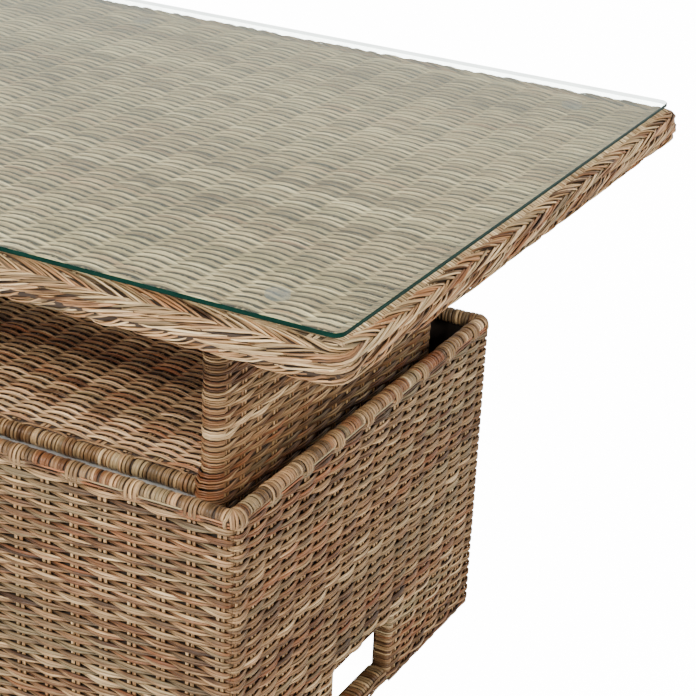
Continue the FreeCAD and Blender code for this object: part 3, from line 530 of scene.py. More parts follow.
        # the edge attribute carries each strand's painted shading (painted highlight at the crest, painted shade at the
        # edges and dives)
        for nm, kind, arr, field in (("st", "FLOAT_VECTOR", np.concatenate(self.ST), "vector"),
                                     ("tint", "FLOAT_VECTOR", np.concatenate(self.TI), "vector"),
                                     ("edge", "FLOAT", np.concatenate(self.E), "value"),
                                     ("sid", "FLOAT", np.concatenate(self.SID), "value")):
            at = me.attributes.new(nm, kind, "POINT")
            at.data.foreach_set(field, arr.astype(np.float32).ravel())
        at, size = self.atlas()
        uv = []
        for k, (_, _, nq) in enumerate(self.rect):
            uv.append(self.uvq[k] * size[k] + at[k])
        layer = me.uv_layers.new(name="OFBake")
        layer.data.foreach_set("uv", np.concatenate(uv).astype(np.float32).ravel())
        me.update()
        ob = bpy.data.objects.new(name, me)
        bpy.context.scene.collection.objects.link(ob)
        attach(ob, body)
        if replaced:
            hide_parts(*replaced)
        return ob


# ---------------------------------------------------------------- sides of a rounded rectangle
SIDES = {"front": ((1, 0), (0, -1)), "right": ((0, 1), (1, 0)), "back": ((-1, 0), (0, 1)), "left": ((0, -1), (-1, 0))}


class Side:
    """One side of a rounded rectangle, from the middle of one corner to the middle of the next."""

    def __init__(self, side, hx, hy, R):
        (self.t, self.nn) = (np.array(v, float) for v in SIDES[side])
        self.a, self.d = (hx, hy) if side in ("front", "back") else (hy, hx)
        self.R = R
        self.s = self.a - R
        self.end = self.s + R * PI / 4

    def at(self, u, out=0.0):
        """Points and outward normals in plan at arc lengths u, moved out by out."""
        u = np.asarray(u, float)
        sg = np.sign(u)
        over = np.clip(np.abs(u) - self.s, 0, None)
        beta = np.minimum(over / self.R, PI / 2)
        past = np.clip(over - self.R * PI / 2, 0, None)
        q = np.clip(u, -self.s, self.s) + sg * self.R * np.sin(beta)
        w = self.d - self.R + self.R * np.cos(beta) - past
        nq, nw = sg * np.sin(beta), np.cos(beta)
        q, w = q + nq * out, w + nw * out
        P = q[..., None] * self.t + w[..., None] * self.nn
        N = nq[..., None] * self.t + nw[..., None] * self.nn
        return P, N


def lift3(xy, z):
    return np.concatenate([xy, np.broadcast_to(np.asarray(z, float), xy.shape[:-1])[..., None]], -1)


def weave_line(u, U, S, A):
    """How far a weft stands off at u: it goes to S times A at each stake U."""
    i = np.clip(np.searchsorted(U, u, side="right") - 1, 0, len(U) - 2)
    t = np.clip((u - U[i]) / (U[i + 1] - U[i]), 0, 1)
    f = (1 - np.cos(PI * t)) / 2
    amp = np.asarray(A, float)
    amp = np.broadcast_to(amp, U.shape)
    return S[i] * amp[i] * (1 - f) + S[i + 1] * amp[i + 1] * f


def samples(a, b, step):
    return np.linspace(a, b, max(3, int(round((b - a) / step)) + 1))


def wefts(st, path, u, off, z, pitch, b=1.0, amp=2.45, tight=None, fill=1.0, ends=None):
    """A weft of two strands side by side: full over a stake, drawn together where it dives.
    With ends, the tints at its two ends, it runs true into the neighbour's weft at the corner."""
    g = st.rng
    w = np.zeros(len(u)) if ends is None else step01(np.abs(u), u[-1] - 30.0, u[-1] - 2.0)
    base = z + (1 - w) * ((smooth_noise(u, g, 160) - 0.5) + 1.3 * (smooth_noise(u, g, 42) - 0.5) + g.normal() * 0.25)
    f = np.clip(off / amp, -1, 1)
    if tight is not None:
        f = f * (1 - tight) - 0.05 * tight
    gap = pitch * fill * (0.235 + 0.105 * f)
    wid = pitch * fill * (0.252 + 0.112 * f) * (1 + 0.05 * g.normal() * (1 - w))
    cross = 0.5 * (smooth_noise(u, g, 70) - 0.5) * (1 - w)
    tint0 = st.tint(u - u[0], (u, z))
    for j, sgn in enumerate((-1, 1)):
        ti = np.clip(0.4 * tint0 + 0.6 * st.tint(u - u[0], (u, z)), 0, 1)
        if ends is not None:
            ti = ti * (1 - w)[:, None] + np.where((u > 0)[:, None], ends[1][j], ends[0][j]) * w[:, None]
        o = off + (g.normal() * 0.12 + sgn * 0.35 * (smooth_noise(u, g, 60) - 0.5)) * (1 - w)
        P, N = path(u, o)
        # painted shade where the weft dives behind a stake
        st.add(lift3(P, base + sgn * gap + cross), lift3(N, 0.0), wid, b, "flat", ti, deep=0.6 * (1 - step01(f, -0.55, 0.4)))


# ---------------------------------------------------------------- base panels
HX, HY, ROUND = 566.1, 314.1, 10.5
PITCH, ROWS, Z0 = 6.33, 65, 7.6
ZBIND = 416.4
RIM_Z, RIM_R = 419.0, 9.4
RHX, RHY, RROUND = 559.5, 307.5, 4.5
BASE_STAKES = {s: (18.98 + 37.96 * np.arange(15) if s in ("front", "back") else np.append(18.0 + 36.0 * np.arange(8), 303.5)) for s in SIDES}
FIRST = {"front": 0, "right": 30, "back": 48, "left": 78}


def rim(st, side, seed):
    """The rail's wrapping: single turns that end behind a binder strand, and at every second stake
    a group of three that comes down over it."""
    g = np.random.default_rng(seed)
    rail = Side(side, RHX, RHY, RROUND)
    skin = Side(side, HX, HY, ROUND)
    stakes = BASE_STAKES[side]
    both = np.concatenate([-stakes[::-1], stakes])
    clip = both[::2]

    def turn(u, lean, wide, tint, proud=0.0, tail=False):
        lo = -12.0 if not tail else 12.0
        th = np.radians(np.concatenate([[lo], np.arange(18.0, 236.0, 19.0)]))
        rr = np.full(len(th), RIM_R + proud)
        if not tail:
            rr[0] -= 1.7
        outs, zz = rr * np.cos(th), RIM_Z + rr * np.sin(th)
        nrm = np.stack([np.cos(th), np.sin(th)], -1)
        if tail:
            outs = np.concatenate([[6.6, 9.3, 10.35], outs])
            zz = np.concatenate([[410.6, 412.4, 416.4], zz])
            nrm = np.concatenate([[(0.8, -0.6), (1.0, -0.1), (1.0, 0.0)], nrm])
        uu = u + lean * np.linspace(-0.5, 0.5, len(zz))
        C, N2 = rail.at(uu)
        st.add(lift3(C + N2 * outs[:, None], zz), lift3(N2 * nrm[:, :1], nrm[:, 1]), wide, 1.1, "half", tint)

    step = 4.85
    n = int(round(2 * rail.end / step))
    us = -rail.end + (np.arange(n) + 0.5) * (2 * rail.end / n)
    block, left = None, 0
    for u in us:
        if np.any(np.abs(clip - u) < 7.6) or abs(u) > rail.s - 2:
            continue
        if left <= 0:
            block = (np.clip(0.325 + 0.46 * (g.random() - 0.5), 0, 1), 0.55 * g.random() ** 2.5, 0.5 * g.random() ** 2)
            left = g.integers(2, 9)
        left -= 1
        t0 = np.clip(block[0] + g.normal() * 0.21, 0.05, 0.98)
        turn(u + g.normal() * 0.65, g.normal() * 1.9 - 0.6, 2.5 + 0.25 * g.normal(), (t0, block[1], block[2]), 0.2 * g.normal())
    for sg in (-1, 1):
        for deg in (4, 19, 34):
            t0 = np.clip(0.36 + 0.16 * g.normal(), 0.1, 0.95)
            turn(sg * (rail.s + rail.R * math.radians(deg)), 0.8 * g.normal(), 1.75 + 0.2 * g.random(), (t0, 0.3 * g.random(), 0.3 * g.random()), 0.1 + 0.4 * g.random(), True)
    for c in clip:
        base = np.clip(0.50 + 0.30 * (g.random() - 0.5), 0, 1)
        c = np.clip(c, -rail.s - 1, rail.s + 1)
        for d in (-5.0, 0.0, 5.0):
            turn(c + d * (1.0 + 0.05 * g.normal()), g.normal() * 1.2 - d * 0.3, 2.45,
                 (np.clip(base + g.normal() * 0.07, 0, 1), 0.1 * g.random(), 0.25 * g.random()), 0.75, True)
    # binder: outside the single turns, under the groups of three
    u = samples(-skin.end, skin.end, 4.5)
    near = np.min(np.abs(u[:, None] - clip[None, :]), axis=1)
    off = 2.15 - 2.5 * (1 - step01(near, 5.0, 14.0))
    P, N = skin.at(u, off)
    slope = 1.6 * (np.interp(u, np.sort(clip), np.arange(len(clip))) % 1.0 - 0.5)
    for dz in (-2.5, 1.5):
        ti = st.tint(u - u[0])
        ti[:, 0] = 0.27 + 0.3 * (ti[:, 0] - 0.44)
        st.add(lift3(P, ZBIND + slope + dz + 0.7 * (smooth_noise(u, g, 60) - 0.5)), lift3(N, 0.0), 1.45, 1.0, "half", np.clip(ti, 0, 1))
    # painted shade: a dark core round the tube, seen between the wraps
    bend = samples(rail.s, rail.end, 0.9)
    u = np.concatenate([-bend[::-1], samples(-rail.s, rail.s, 12)[1:-1], bend])
    th = np.linspace(0, 2 * PI, 17)[:-1]
    C, N2 = rail.at(u)
    G = np.stack([lift3(C + N2 * (8.65 * math.cos(x)), RIM_Z + 8.65 * math.sin(x)) for x in th], 1)
    st.grid(G, 1, closed=True)


def corner_tints(k, r):
    """Tints of the two strands of row r where they go round corner k."""
    g = np.random.default_rng(9000 + 100 * (k % 4) + r)
    return np.stack([np.clip(0.42 + 0.13 * g.normal(size=2), 0.1, 0.9), 0.3 * g.random(2) ** 2, 0.4 * g.random(2) ** 2], -1)


def base_panel(side, seed):
    st = Strands(seed, 0.44, 0.36, 0.28, 0.40)
    g = st.rng
    k = list(SIDES).index(side)
    sk = Side(side, HX, HY, ROUND)
    stakes = BASE_STAKES[side]
    own = np.concatenate([-stakes[::-1], stakes])
    ends = side in ("right", "left")
    # the neighbours' nearest stakes carry the pattern round the corner
    nb = Side("front" if ends else "right", HX, HY, ROUND)
    reach = sk.end + (nb.end - BASE_STAKES["front" if ends else "right"][-1])
    U = np.concatenate([[-reach], own, [reach]])
    idx = FIRST[side] - 1 + np.arange(len(U))
    us = samples(-sk.end, sk.end, 7.5)
    us = np.unique(np.concatenate([us[np.abs(us) < sk.s - 2], samples(sk.s, sk.end, 2.8), -samples(sk.s, sk.end, 2.8)]))
    for r in range(ROWS):
        z = Z0 + r * PITCH
        S = np.where((idx + r) % 2 == 0, 1.0, -1.0)
        turns = (corner_tints(k - 1, r), corner_tints(k, r))
        if ends and z < 104.5:
            for sgn, tints in zip((-1, 1), turns):
                jamb_weft(st, sk, sgn, U, S, 2.75, z, tints)
            continue
        wefts(st, lambda u, o: sk.at(u, o), us, weave_line(us, U, S, 2.75), z, PITCH, 1.3, 2.75, ends=turns)
    # a tight pair closes the bottom edge
    for o, z in ((-1.6, 6.3), (1.5, 6.0), (-1.9, 10.6)):
        parts = ((-sk.end, sk.end),) if not ends else ((-sk.end, -76.0), (76.0, sk.end))
        for a, b in parts:
            u = samples(a, b, 7)
            P, N = sk.at(u, o + 0.5 * np.sin(u / 36.0 * PI))
            st.add(lift3(P, z + 0.35 * np.cos(u / 36.0 * PI)), lift3(N, 0.0), 2.3, 0.95)
    # stakes in pairs
    top = 412.0
    for x in own:
        for d in (-3.35, 3.35):
            low = 5.2
            if ends and abs(x + d) < 74:
                low = 107.0
            if ends and 74 <= abs(x + d) < 80:
                d += 3.0 * np.sign(x)
            zz = samples(low, top, 26)
            uu = x + d + 0.5 * (smooth_noise(zz, g, 120) - 0.5)
            P, N = sk.at(uu, 0.0)
            tone = np.clip(0.66 + 0.12 * g.normal(), 0.2, 0.95)
            st.add(lift3(P, zz), lift3(N, 0.0), 2.6, 1.05, "half", st.tint(zz) * (0.35, 0.3, 0.6) + (tone * 0.65, 0, 0))
    if ends:
        window_head(st, sk)
    rim(st, side, seed + 50)
    return st


def jamb_weft(st, sk, sgn, U, S, amp, z, tints):
    """A weft that turns round the window's post and goes back along the inside."""
    g = st.rng
    face = 73.6
    rj = 6.0
    u = samples(face + rj, sk.end, 6.4)
    u = np.concatenate([u[u < sk.s - 2], samples(sk.s, sk.end, 3.7)])
    off = weave_line(u * sgn, U, S, amp) * step01(u, face + 2, face + 22) + 0.4 * (1 - step01(u, face + 2, face + 22))
    sway = g.normal() * 0.22
    true = step01(u, sk.end - 30.0, sk.end - 2.0)
    for j, half in enumerate((-1, 1)):
        P, N = sk.at(u * sgn, off + g.normal() * 0.1 * (1 - true))
        # turn: quarter round to the jamb, along it, and in behind the post
        d = sk.d
        q, w, nq, nw = [], [], [], []
        for b in np.linspace(0, PI / 2, 5)[1:]:
            q.append(face + rj - rj * math.sin(b)); w.append(d + 0.4 - rj + rj * math.cos(b)); nq.append(-math.sin(b)); nw.append(math.cos(b))
        for x in (d - 12.0, d - 17.0):
            q.append(face); w.append(x); nq.append(-1.0); nw.append(0.0)
        for b in np.linspace(0, PI / 2, 4)[1:]:
            q.append(face + 5.0 - 5.0 * math.cos(b)); w.append(d - 18.0 - 5.0 * math.sin(b)); nq.append(-math.cos(b)); nw.append(-math.sin(b))
        q.append(face + 17.0); w.append(d - 23.0); nq.append(0.0); nw.append(-1.0)
        q, w, nq, nw = (np.array(v) for v in (q, w, nq, nw))
        P2 = (q * sgn)[:, None] * sk.t + w[:, None] * sk.nn
        N2 = (nq * sgn)[:, None] * sk.t + nw[:, None] * sk.nn
        PP = np.concatenate([P[::-1], P2])
        NN = np.concatenate([N[::-1], N2])
        sl = np.concatenate([u[::-1] * sgn, np.full(len(P2), face * sgn)])
        ww = np.concatenate([true[::-1], np.zeros(len(P2))])
        ti = st.tint(np.arange(len(PP)) * 6.0, (sl, z)) * (1 - ww)[:, None] + tints[j] * ww[:, None]
        st.add(lift3(PP, z + sway * (1 - ww) + half * PITCH * 0.235), lift3(NN, 0.0), PITCH * 0.25, 1.2, "flat", ti)


def window_head(st, sk):
    """The strand turned over the window's top edge."""
    for k, (z, out, inner) in enumerate(((106.3, 0.6, 0), (105.2, -2.0, 0), (106.4, -4.6, 1))):
        u = samples(-74.0, 74.0, 6)
        P, N = sk.at(u, out + 0.5 * np.sin(u / 11.0 + k))
        st.add(lift3(P, z + 0.4 * np.sin(u / 9.0 + 2 * k)), lift3(N * 0.4, -0.9), 2.3, 1.0, "half")


for i, side in enumerate(("front", "back", "right", "left")):
    base_panel(side, 100 + i).build("base_%s_wicker" % side, [m_body, m_gap_shade], "base", "wicker_body", "base_%s_weave" % side)


# ---------------------------------------------------------------- stretchers under the windows
st = Strands(140, 0.42, 0.2, 0.15, 0.35)
for sx in (1, -1):
    n = 25
    for i in range(n):
        y = -70.6 + 141.2 * (i + 0.5) / n
        # wrapped round a flat tube: out, over the top, in and under
        prof = []
        hw, hh, rc = 12.6, 9.6, 6.5
        for k in range(20):
            th = 2 * PI * (k / 18.0) - 0.6
            c, s = math.cos(th), math.sin(th)
            ux = math.copysign(abs(c) ** 0.62, c) * hw
            uz = math.copysign(abs(s) ** 0.62, s) * hh
            prof.append((ux, uz, c, s))
        prof = np.array(prof)
        lean = np.linspace(-1.2, 1.2, len(prof)) + st.rng.normal() * 0.3
        P = np.stack([sx * (552.0 + prof[:, 0]), y + lean, 14.6 + prof[:, 1]], -1)
        N = np.stack([sx * prof[:, 2], np.zeros(len(prof)), prof[:, 3]], -1)
        st.add(P, N, 2.6, 0.9)
    for j, z in enumerate((8.2, 13.6, 19.0)):
        u = samples(-71.0, 71.0, 5)
        o = 565.9 + 1.3 * np.sin(u / 36.0 * PI + j * PI)
        P = np.stack([sx * o, u, np.full_like(u, z) + 0.3 * np.sin(u / 20.0)], -1)
        st.add(P, np.broadcast_to((sx * 1.0, 0, 0), P.shape), 2.4, 0.95)
st.build("stretcher_wicker", [m_body], "base", "wicker_body", "stretcher_wraps")


# ---------------------------------------------------------------- end walls of the rising box
def slab(st, x, y0, y1, z0, z1, t=0.25):
    """A thin upright dark panel close behind a woven skin: painted shade for its gaps."""
    zs = np.concatenate([[z0, z0 + 0.5], np.linspace(z0 + 20, z1 - 20, 6), [z1 - 0.5, z1]])
    th = np.full(len(zs), t)
    th[[0, -1]] = 0.0
    G = np.stack([np.stack([x + q * th, np.full(len(zs), y), zs], -1) for y, q in ((y0, -1), (y1, -1), (y1, 1), (y0, 1))], 1)
    st.grid(G, 1, closed=True)


def wall(sx, seed):
    st = Strands(seed, 0.39, 0.34, 0.32, 0.24)
    g = st.rng
    rm, hl = 12.4, 247.5
    cxw = sx * 499.0
    half = PI * rm
    # u runs along the outer face, round the back post, along the inner face and round the front post
    total = 4 * hl + 2 * half

    def at(u, out=0.0):
        u = np.mod(np.asarray(u, float), total)
        a = np.empty(u.shape + (2,))
        n = np.empty(u.shape + (2,))
        k1 = u < 2 * hl
        k2 = (~k1) & (u < 2 * hl + half)
        k3 = (~k1) & (~k2) & (u < 4 * hl + half)
        k4 = ~(k1 | k2 | k3)
        a[k1] = np.stack([np.full(k1.sum(), rm), -hl + u[k1]], -1)
        n[k1] = (1, 0)
        b = (u[k2] - 2 * hl) / rm
        a[k2] = np.stack([rm * np.cos(b), hl + rm * np.sin(b)], -1)
        n[k2] = np.stack([np.cos(b), np.sin(b)], -1)
        a[k3] = np.stack([np.full(k3.sum(), -rm), hl - (u[k3] - 2 * hl - half)], -1)
        n[k3] = (-1, 0)
        b = (u[k4] - 4 * hl - half) / rm + PI
        a[k4] = np.stack([rm * np.cos(b), -hl + rm * np.sin(b)], -1)
        n[k4] = np.stack([np.cos(b), np.sin(b)], -1)
        o = np.broadcast_to(np.asarray(out, float), u.shape)
        a = a + n * o[..., None]
        a[..., 0] *= sx
        n[..., 0] *= sx
        a[..., 0] += cxw
        return a, n

    ys = np.concatenate([[-242.5], 35.0 * np.arange(-6, 7), [242.5]])
    U = np.concatenate([ys + hl, 2 * hl + half + hl + ys])
    sign = (-1.0) ** np.arange(len(U))
    Uc = np.concatenate([[U[-1] - total], U, [U[0] + total]])
    Sc = np.concatenate([[sign[-1]], sign, [sign[0]]])
    start = 2 * hl + half + hl + 17.5      # the seam is on the inner face, between two stakes
    us = samples(start, start + total, 7.0)
    arcs = ((2 * hl, 2 * hl + half), (4 * hl + half, total))
    pitch = 6.45
    rows = 53
    for r in range(rows):
        z = 336.0 + r * pitch
        um = np.mod(us, total)
        off = weave_line(um, Uc, Sc * (1 if r % 2 == 0 else -1), 2.1)
        off = np.where(off < 0, 0.6 * off, off)
        round_ = np.zeros_like(um)
        for a0, a1 in arcs:
            k = step01(um, a0 - 4, a0 + 5) * (1 - step01(um, a1 - 5, a1 + 4))
            if a1 > total - 1:
                k = np.maximum(k * 1.0, (um > total - 25) * step01(um, a0 - 4, a0 + 5) * (1 - step01(um, total - 5, total)))
            off = off * (1 - k) + (0.75 + 0.85 * (r % 2)) * k
            round_ = np.maximum(round_, k)
            # low down the turns also take in the end of the shelf's bar
            bulge = 7.0 * step01(z, 388, 402) * (1 - step01(z, 418, 446))
            mid = a0 + half * (0.34 if a1 < total - 1 else 0.66)
            mid = a0 + half * (0.72 if a1 < total - 1 else 0.28)
            off = off + bulge * np.exp(-((um - mid) / 11.0) ** 2)
        if z > 627.0:
            gap0, gap1 = hl - 17.5, hl + 17.5
            u1 = samples(gap1, gap0 + total, 7.0)
            um1 = np.mod(u1, total)
            o1 = np.interp(np.mod(u1 - start, total), us - start, off)
            wefts(st, at, u1, o1, z, pitch, 1.12, 2.1, None, 0.9)
        else:
            wefts(st, at, us, off, z, pitch, 1.12, 2.1, round_, 0.9)
    # painted shade: dark filling round the posts and dark panels behind the skin
    for sy in (-1, 1):
        th = np.radians(np.linspace(-100, 100, 13))
        zs = np.linspace(333.0, 677.0, 30)
        ring = np.stack([cxw + 11.75 * np.sin(th), sy * (hl + 11.75 * np.cos(th))], -1)
        G = np.stack([lift3(ring, z) for z in zs], 0)
        st.grid(G if sy > 0 else G[::-1], 1)
    # the outer skin is left open where the lever comes through
    for x, y0, y1, z1 in ((-10.9, -249.0, 249.0, 676.5), (10.9, -249.0, 249.0, 627.0)):
        slab(st, cxw + sx * x, y0, y1, 333.5, z1)
    for y0, y1 in ((-249.0, -18.0), (18.0, 249.0)):
        slab(st, cxw + sx * 10.9, y0, y1, 626.0, 676.5)
    for x in U:
        for d in (-3.3, 3.3):
            outer_face = x < 2 * hl
            top = 676.5
            if outer_face and abs(x - hl) < 17:
                top = 628.0
            zz = samples(333.5, top, 25)
            uu = x + d + 0.5 * (smooth_noise(zz, g, 120) - 0.5)
            P, N = at(uu, 0.0)
            tone = np.clip(0.58 + 0.12 * g.normal(), 0.2, 0.95)
            st.add(lift3(P, zz), lift3(N, 0.0), 2.4, 0.75, "half", st.tint(zz) * (0.35, 0.3, 0.6) + (tone * 0.65, 0, 0))
    return st


wall(1, 160).build("wall_right_wicker", [m_body, m_gap_shade], "lift", "wicker_body", "wall_weave_right")
wall(-1, 161).build("wall_left_wicker", [m_body, m_gap_shade], "lift", "wicker_body", "wall_weave_left")


# ---------------------------------------------------------------- woven sheets: top and shelf
def sheet(seed, x0, x1, ys, zmid, A, pitch, b, warps, tone, rust, sage, turn=False, warp_y=None, step=8.8, spread=0.2, full=1.0):
    st = Strands(seed, tone, spread, rust, sage)
    g = st.rng
    sign = (-1.0) ** np.arange(len(warps))
    U = np.concatenate([[warps[0] - (warps[1] - warps[0])], warps, [warps[-1] + (warps[1] - warps[0])]])
    S = np.concatenate([[-sign[0]], sign, [-sign[-1]]])
    for r, y in ys:
        x = samples(x0, x1, step)
        off = weave_line(x, U, S * (1 if r % 2 == 0 else -1), A)
        # rounder over a warp than between them
        f = np.sign(off) * np.abs(off / A) ** 0.85
        off = A * np.where(f < 0, 0.75 * f, f)
        gap = pitch * full * (0.218 + 0.088 * f)
        wid = pitch * full * (0.258 + 0.082 * f)
        base = y + 0.7 * (smooth_noise(x, g, 150) - 0.5) + g.normal() * 0.2 + 0.7 * (smooth_noise(x, g, 60) - 0.5)
        tint0 = st.tint(x - x0, (x, y))
        for sgn in (-1, 1):
            ti = np.clip(0.45 * tint0 + 0.55 * st.tint(x - x0, (x, y)), 0, 1)
            sunk = max(0.0, abs(y) - 407.0) * 0.22 if turn else 0.0
            zz = zmid - sunk + off * (1.0 if sunk == 0 else 0.45) + 0.1 * g.normal() + sgn * 0.4 * (smooth_noise(x, g, 60) - 0.5)
            P = np.stack([x, base + sgn * gap, zz], -1)
            N = np.broadcast_to((0, 0, 1.0), P.shape)
            w = wid * (1 + 0.05 * g.normal())
            # painted shade where the strand dives under a warp
            dive_shade = 1 - step01(f, -0.55, 0.35)
            if turn:
                # painted shade on the turned-over ends
                edge = np.array([0.65, 0.62, 0.5, 0.55, 0.85])
                dive_shade = np.concatenate([edge[::-1], dive_shade, edge])
                # the ends run out over the edge and turn down behind the plait
                ex = np.array([6.0, 13.0, 19.0, 23.0, 25.5])
                ez = np.array([2.2, 2.9, 2.7, 1.2, -2.4])
                en = np.array([(0, 1.0), (0.1, 1.0), (0.45, 0.9), (0.8, 0.6), (1.0, 0.1)])
                for q in (1, -1):
                    e = np.stack([q * (max(abs(x0), abs(x1)) + ex), np.full(5, P[-1 if q > 0 else 0, 1]), zmid + ez], -1)
                    n = np.stack([q * en[:, 0], np.zeros(5), en[:, 1]], -1)
                    last = np.full(5, pitch * 0.175)
                    if q > 0:
                        P, N, w, ti = np.concatenate([P, e]), np.concatenate([N, n]), np.concatenate([w, last]), np.concatenate([ti, np.repeat(ti[-1:], 5, 0)])
                    else:
                        P, N, w, ti = np.concatenate([e[::-1], P]), np.concatenate([n[::-1], N]), np.concatenate([last, w]), np.concatenate([np.repeat(ti[:1], 5, 0), ti])
            # the second strand of a pair lies in the first one's lee
            # painted shade round the section: full on the -Y edge of the pair's -Y strand, half elsewhere
            ex = SECTION["half"][:, 0]
            st.add(P, N, w, b, "half", ti, deep=dive_shade, shade=np.where((ex > 0) & (sgn < 0), 1.0, 0.5) * np.abs(ex))
    for x in warps:
        for d in (-3.4, 3.4):
            y = samples(warp_y[0], warp_y[1], 28)
            P = np.stack([x + d + 0.4 * (smooth_noise(y, g, 150) - 0.5), y, np.full_like(y, zmid)], -1)
            tone2 = np.clip(0.5 + 0.12 * g.normal(), 0.2, 0.95)
            st.add(P, np.broadcast_to((0, 0, 1.0), P.shape), 2.8, 1.05, "flat", st.tint(y) * (0.35, 0.3, 0.6) + (tone2 * 0.65, 0, 0))
    # painted shade: a dark core between the strands that go over and those that go under
    xs = np.concatenate([[x0 + 1.0, x0 + 1.6], np.linspace(x0 + 40, x1 - 40, 20), [x1 - 1.6, x1 - 1.0]])
    thick = np.where((np.arange(len(xs)) == 0) | (np.arange(len(xs)) == len(xs) - 1), 0.0, 0.3)
    ring = ((warp_y[0], -1), (warp_y[1], -1), (warp_y[1], 1), (warp_y[0], 1))
    G = np.stack([np.stack([xs, np.full(len(xs), yy), zmid - 0.9 + q * thick], -1) for yy, q in ring], 1)
    st.grid(G, 1, closed=True)
    return st


# the outer rows on each long side sink under the plait
top_rows = [(r, -420.9 + 6.1 * r) for r in range(139)]
top_warps = 44.0 * np.arange(-16, 17)
for k, (name, lo, hi, wy) in enumerate((("top_front_wicker", 0, 35, (-420.0, -207.2)), ("top_mid_front_wicker", 35, 70, (-207.2, 6.1)),
                                        ("top_mid_back_wicker", 70, 105, (6.1, 219.6)), ("top_back_wicker", 105, 139, (219.6, 420.0)))):
    sheet(180 + k, -714.0, 714.0, top_rows[lo:hi], 705.9, 3.1, 6.1, 1.5, top_warps, 0.63, 0.22, 0.34, True, wy, 8.8, 0.17, 1.04).build(
        name, [m_sheet, m_sheet_gap_shade], "lift", "wicker_sheet", "top_weave")

shelf_rows = [(r, -236.0 + 6.13 * r) for r in range(78)]
for k, (name, lo, hi, wy) in enumerate((("shelf_front_wicker", 0, 39, (-239.5, 0.0)), ("shelf_back_wicker", 39, 78, (0.0, 239.5)))):
    sheet(190 + 2 * k, -483.0, 483.0, shelf_rows[lo:hi], 417.4, 3.1, 6.13, 1.5, 38.0 * np.arange(-12, 13), 0.56, 0.36, 0.25, False, wy, 7.6, 0.22, 0.98).build(
        name, [m_shelf, m_gap_shade], "lift", "wicker_sheet", "shelf_weave")


# ---------------------------------------------------------------- wrapped bars of the shelf
def bar(sy, seed):
    st = Strands(seed, 0.40, 0.18, 0.14, 0.3)
    g = st.rng
    zc, yc, r0 = 410.5, sy * 251.0, 9.4
    clips = np.concatenate([[0.0], 10.0 + 76.0 * np.arange(1, 6), -10.0 - 76.0 * np.arange(1, 6), [-470.5, 470.5]])

    def turn(x, lean, wide, proud, tint):
        th = np.radians(np.arange(-200.0, 180.0, 22.0))
        rr = r0 + proud
        P = np.stack([x + lean * np.linspace(-0.5, 0.5, len(th)), yc + sy * rr * np.cos(th), zc + rr * np.sin(th)], -1)
        N = np.stack([np.zeros(len(th)), sy * np.cos(th), np.sin(th)], -1)
        st.add(P, N, wide, 1.1, "half", tint)

    n = 198
    block, left = None, 0
    for i in range(n):
        x = -482.5 + 965.0 * (i + 0.5) / n
        if np.any(np.abs(clips - x) < 7.4):
            continue
        if left <= 0:
            block = (np.clip(0.40 + 0.34 * (g.random() - 0.5), 0, 1), 0.2 * g.random() ** 3, 0.6 * g.random() ** 2)
            left = g.integers(3, 9)
        left -= 1
        turn(x + g.normal() * 0.5, 5.0 + g.normal() * 1.4, 2.5 + 0.2 * g.normal(), 0.18 * g.normal(), (np.clip(block[0] + g.normal() * 0.14, 0.05, 0.95), block[1], block[2]))
    for c in clips:
        base = np.clip(0.42 + 0.24 * (g.random() - 0.5), 0, 1)
        for d in (-5.2, 0.0, 5.2):
            turn(c + d * (1 + 0.03 * g.normal()), 0.8 * g.normal(), 2.4, 0.85, (np.clip(base + g.normal() * 0.06, 0, 1), 0.12 * g.random(), 0.3 * g.random()))
    # binder along the back of the bar, up and over between the groups
    x = samples(-483.0, 483.0, 4.5)
    near = np.min(np.abs(x[:, None] - clips[None, :]), axis=1)
    up = step01(near, 5.0, 16.0)
    ang = math.radians(97.0)
    rr = r0 - 0.2 + 2.6 * up
    P = np.stack([x, yc + sy * rr * math.cos(ang), zc + rr * math.sin(ang) + 1.2 * np.cos(near / 38.0 * PI / 2 - PI / 2)], -1)
    N = np.broadcast_to((0, sy * math.cos(ang), math.sin(ang)), P.shape)
    ti = st.tint(x)
    ti[:, 0] = np.clip(0.68 + 0.2 * (ti[:, 0] - 0.4), 0, 1)
    ti[:, 1] = 0.35 * ti[:, 1] + 0.12
    st.add(P, N, 2.1, 1.0, "half", ti)
    # painted shade: a dark core round the bar, seen between the wraps
    G = []
    for x in np.linspace(-483, 483, 80):
        th = np.linspace(0, 2 * PI, 17)[:-1]
        G.append(np.stack([np.full(16, x), yc + 8.6 * np.cos(th) * sy, zc + 8.6 * np.sin(th)], -1))
    st.grid(np.array(G)[::-1 if sy < 0 else 1], 1, closed=True)
    return st


bar(-1, 200).build("shelf_front_bar", [m_body, m_gap_shade], "lift", "wicker_body", "shelf_wrap_front")
bar(1, 201).build("shelf_back_bar", [m_body, m_gap_shade], "lift", "wicker_body", "shelf_wrap_back")


# ---------------------------------------------------------------- plaited border of the top
BHX, BHY, BR = 735.0, 427.5, 8.5
BW, BH, BZ = 15.3, 18.0, 689.6


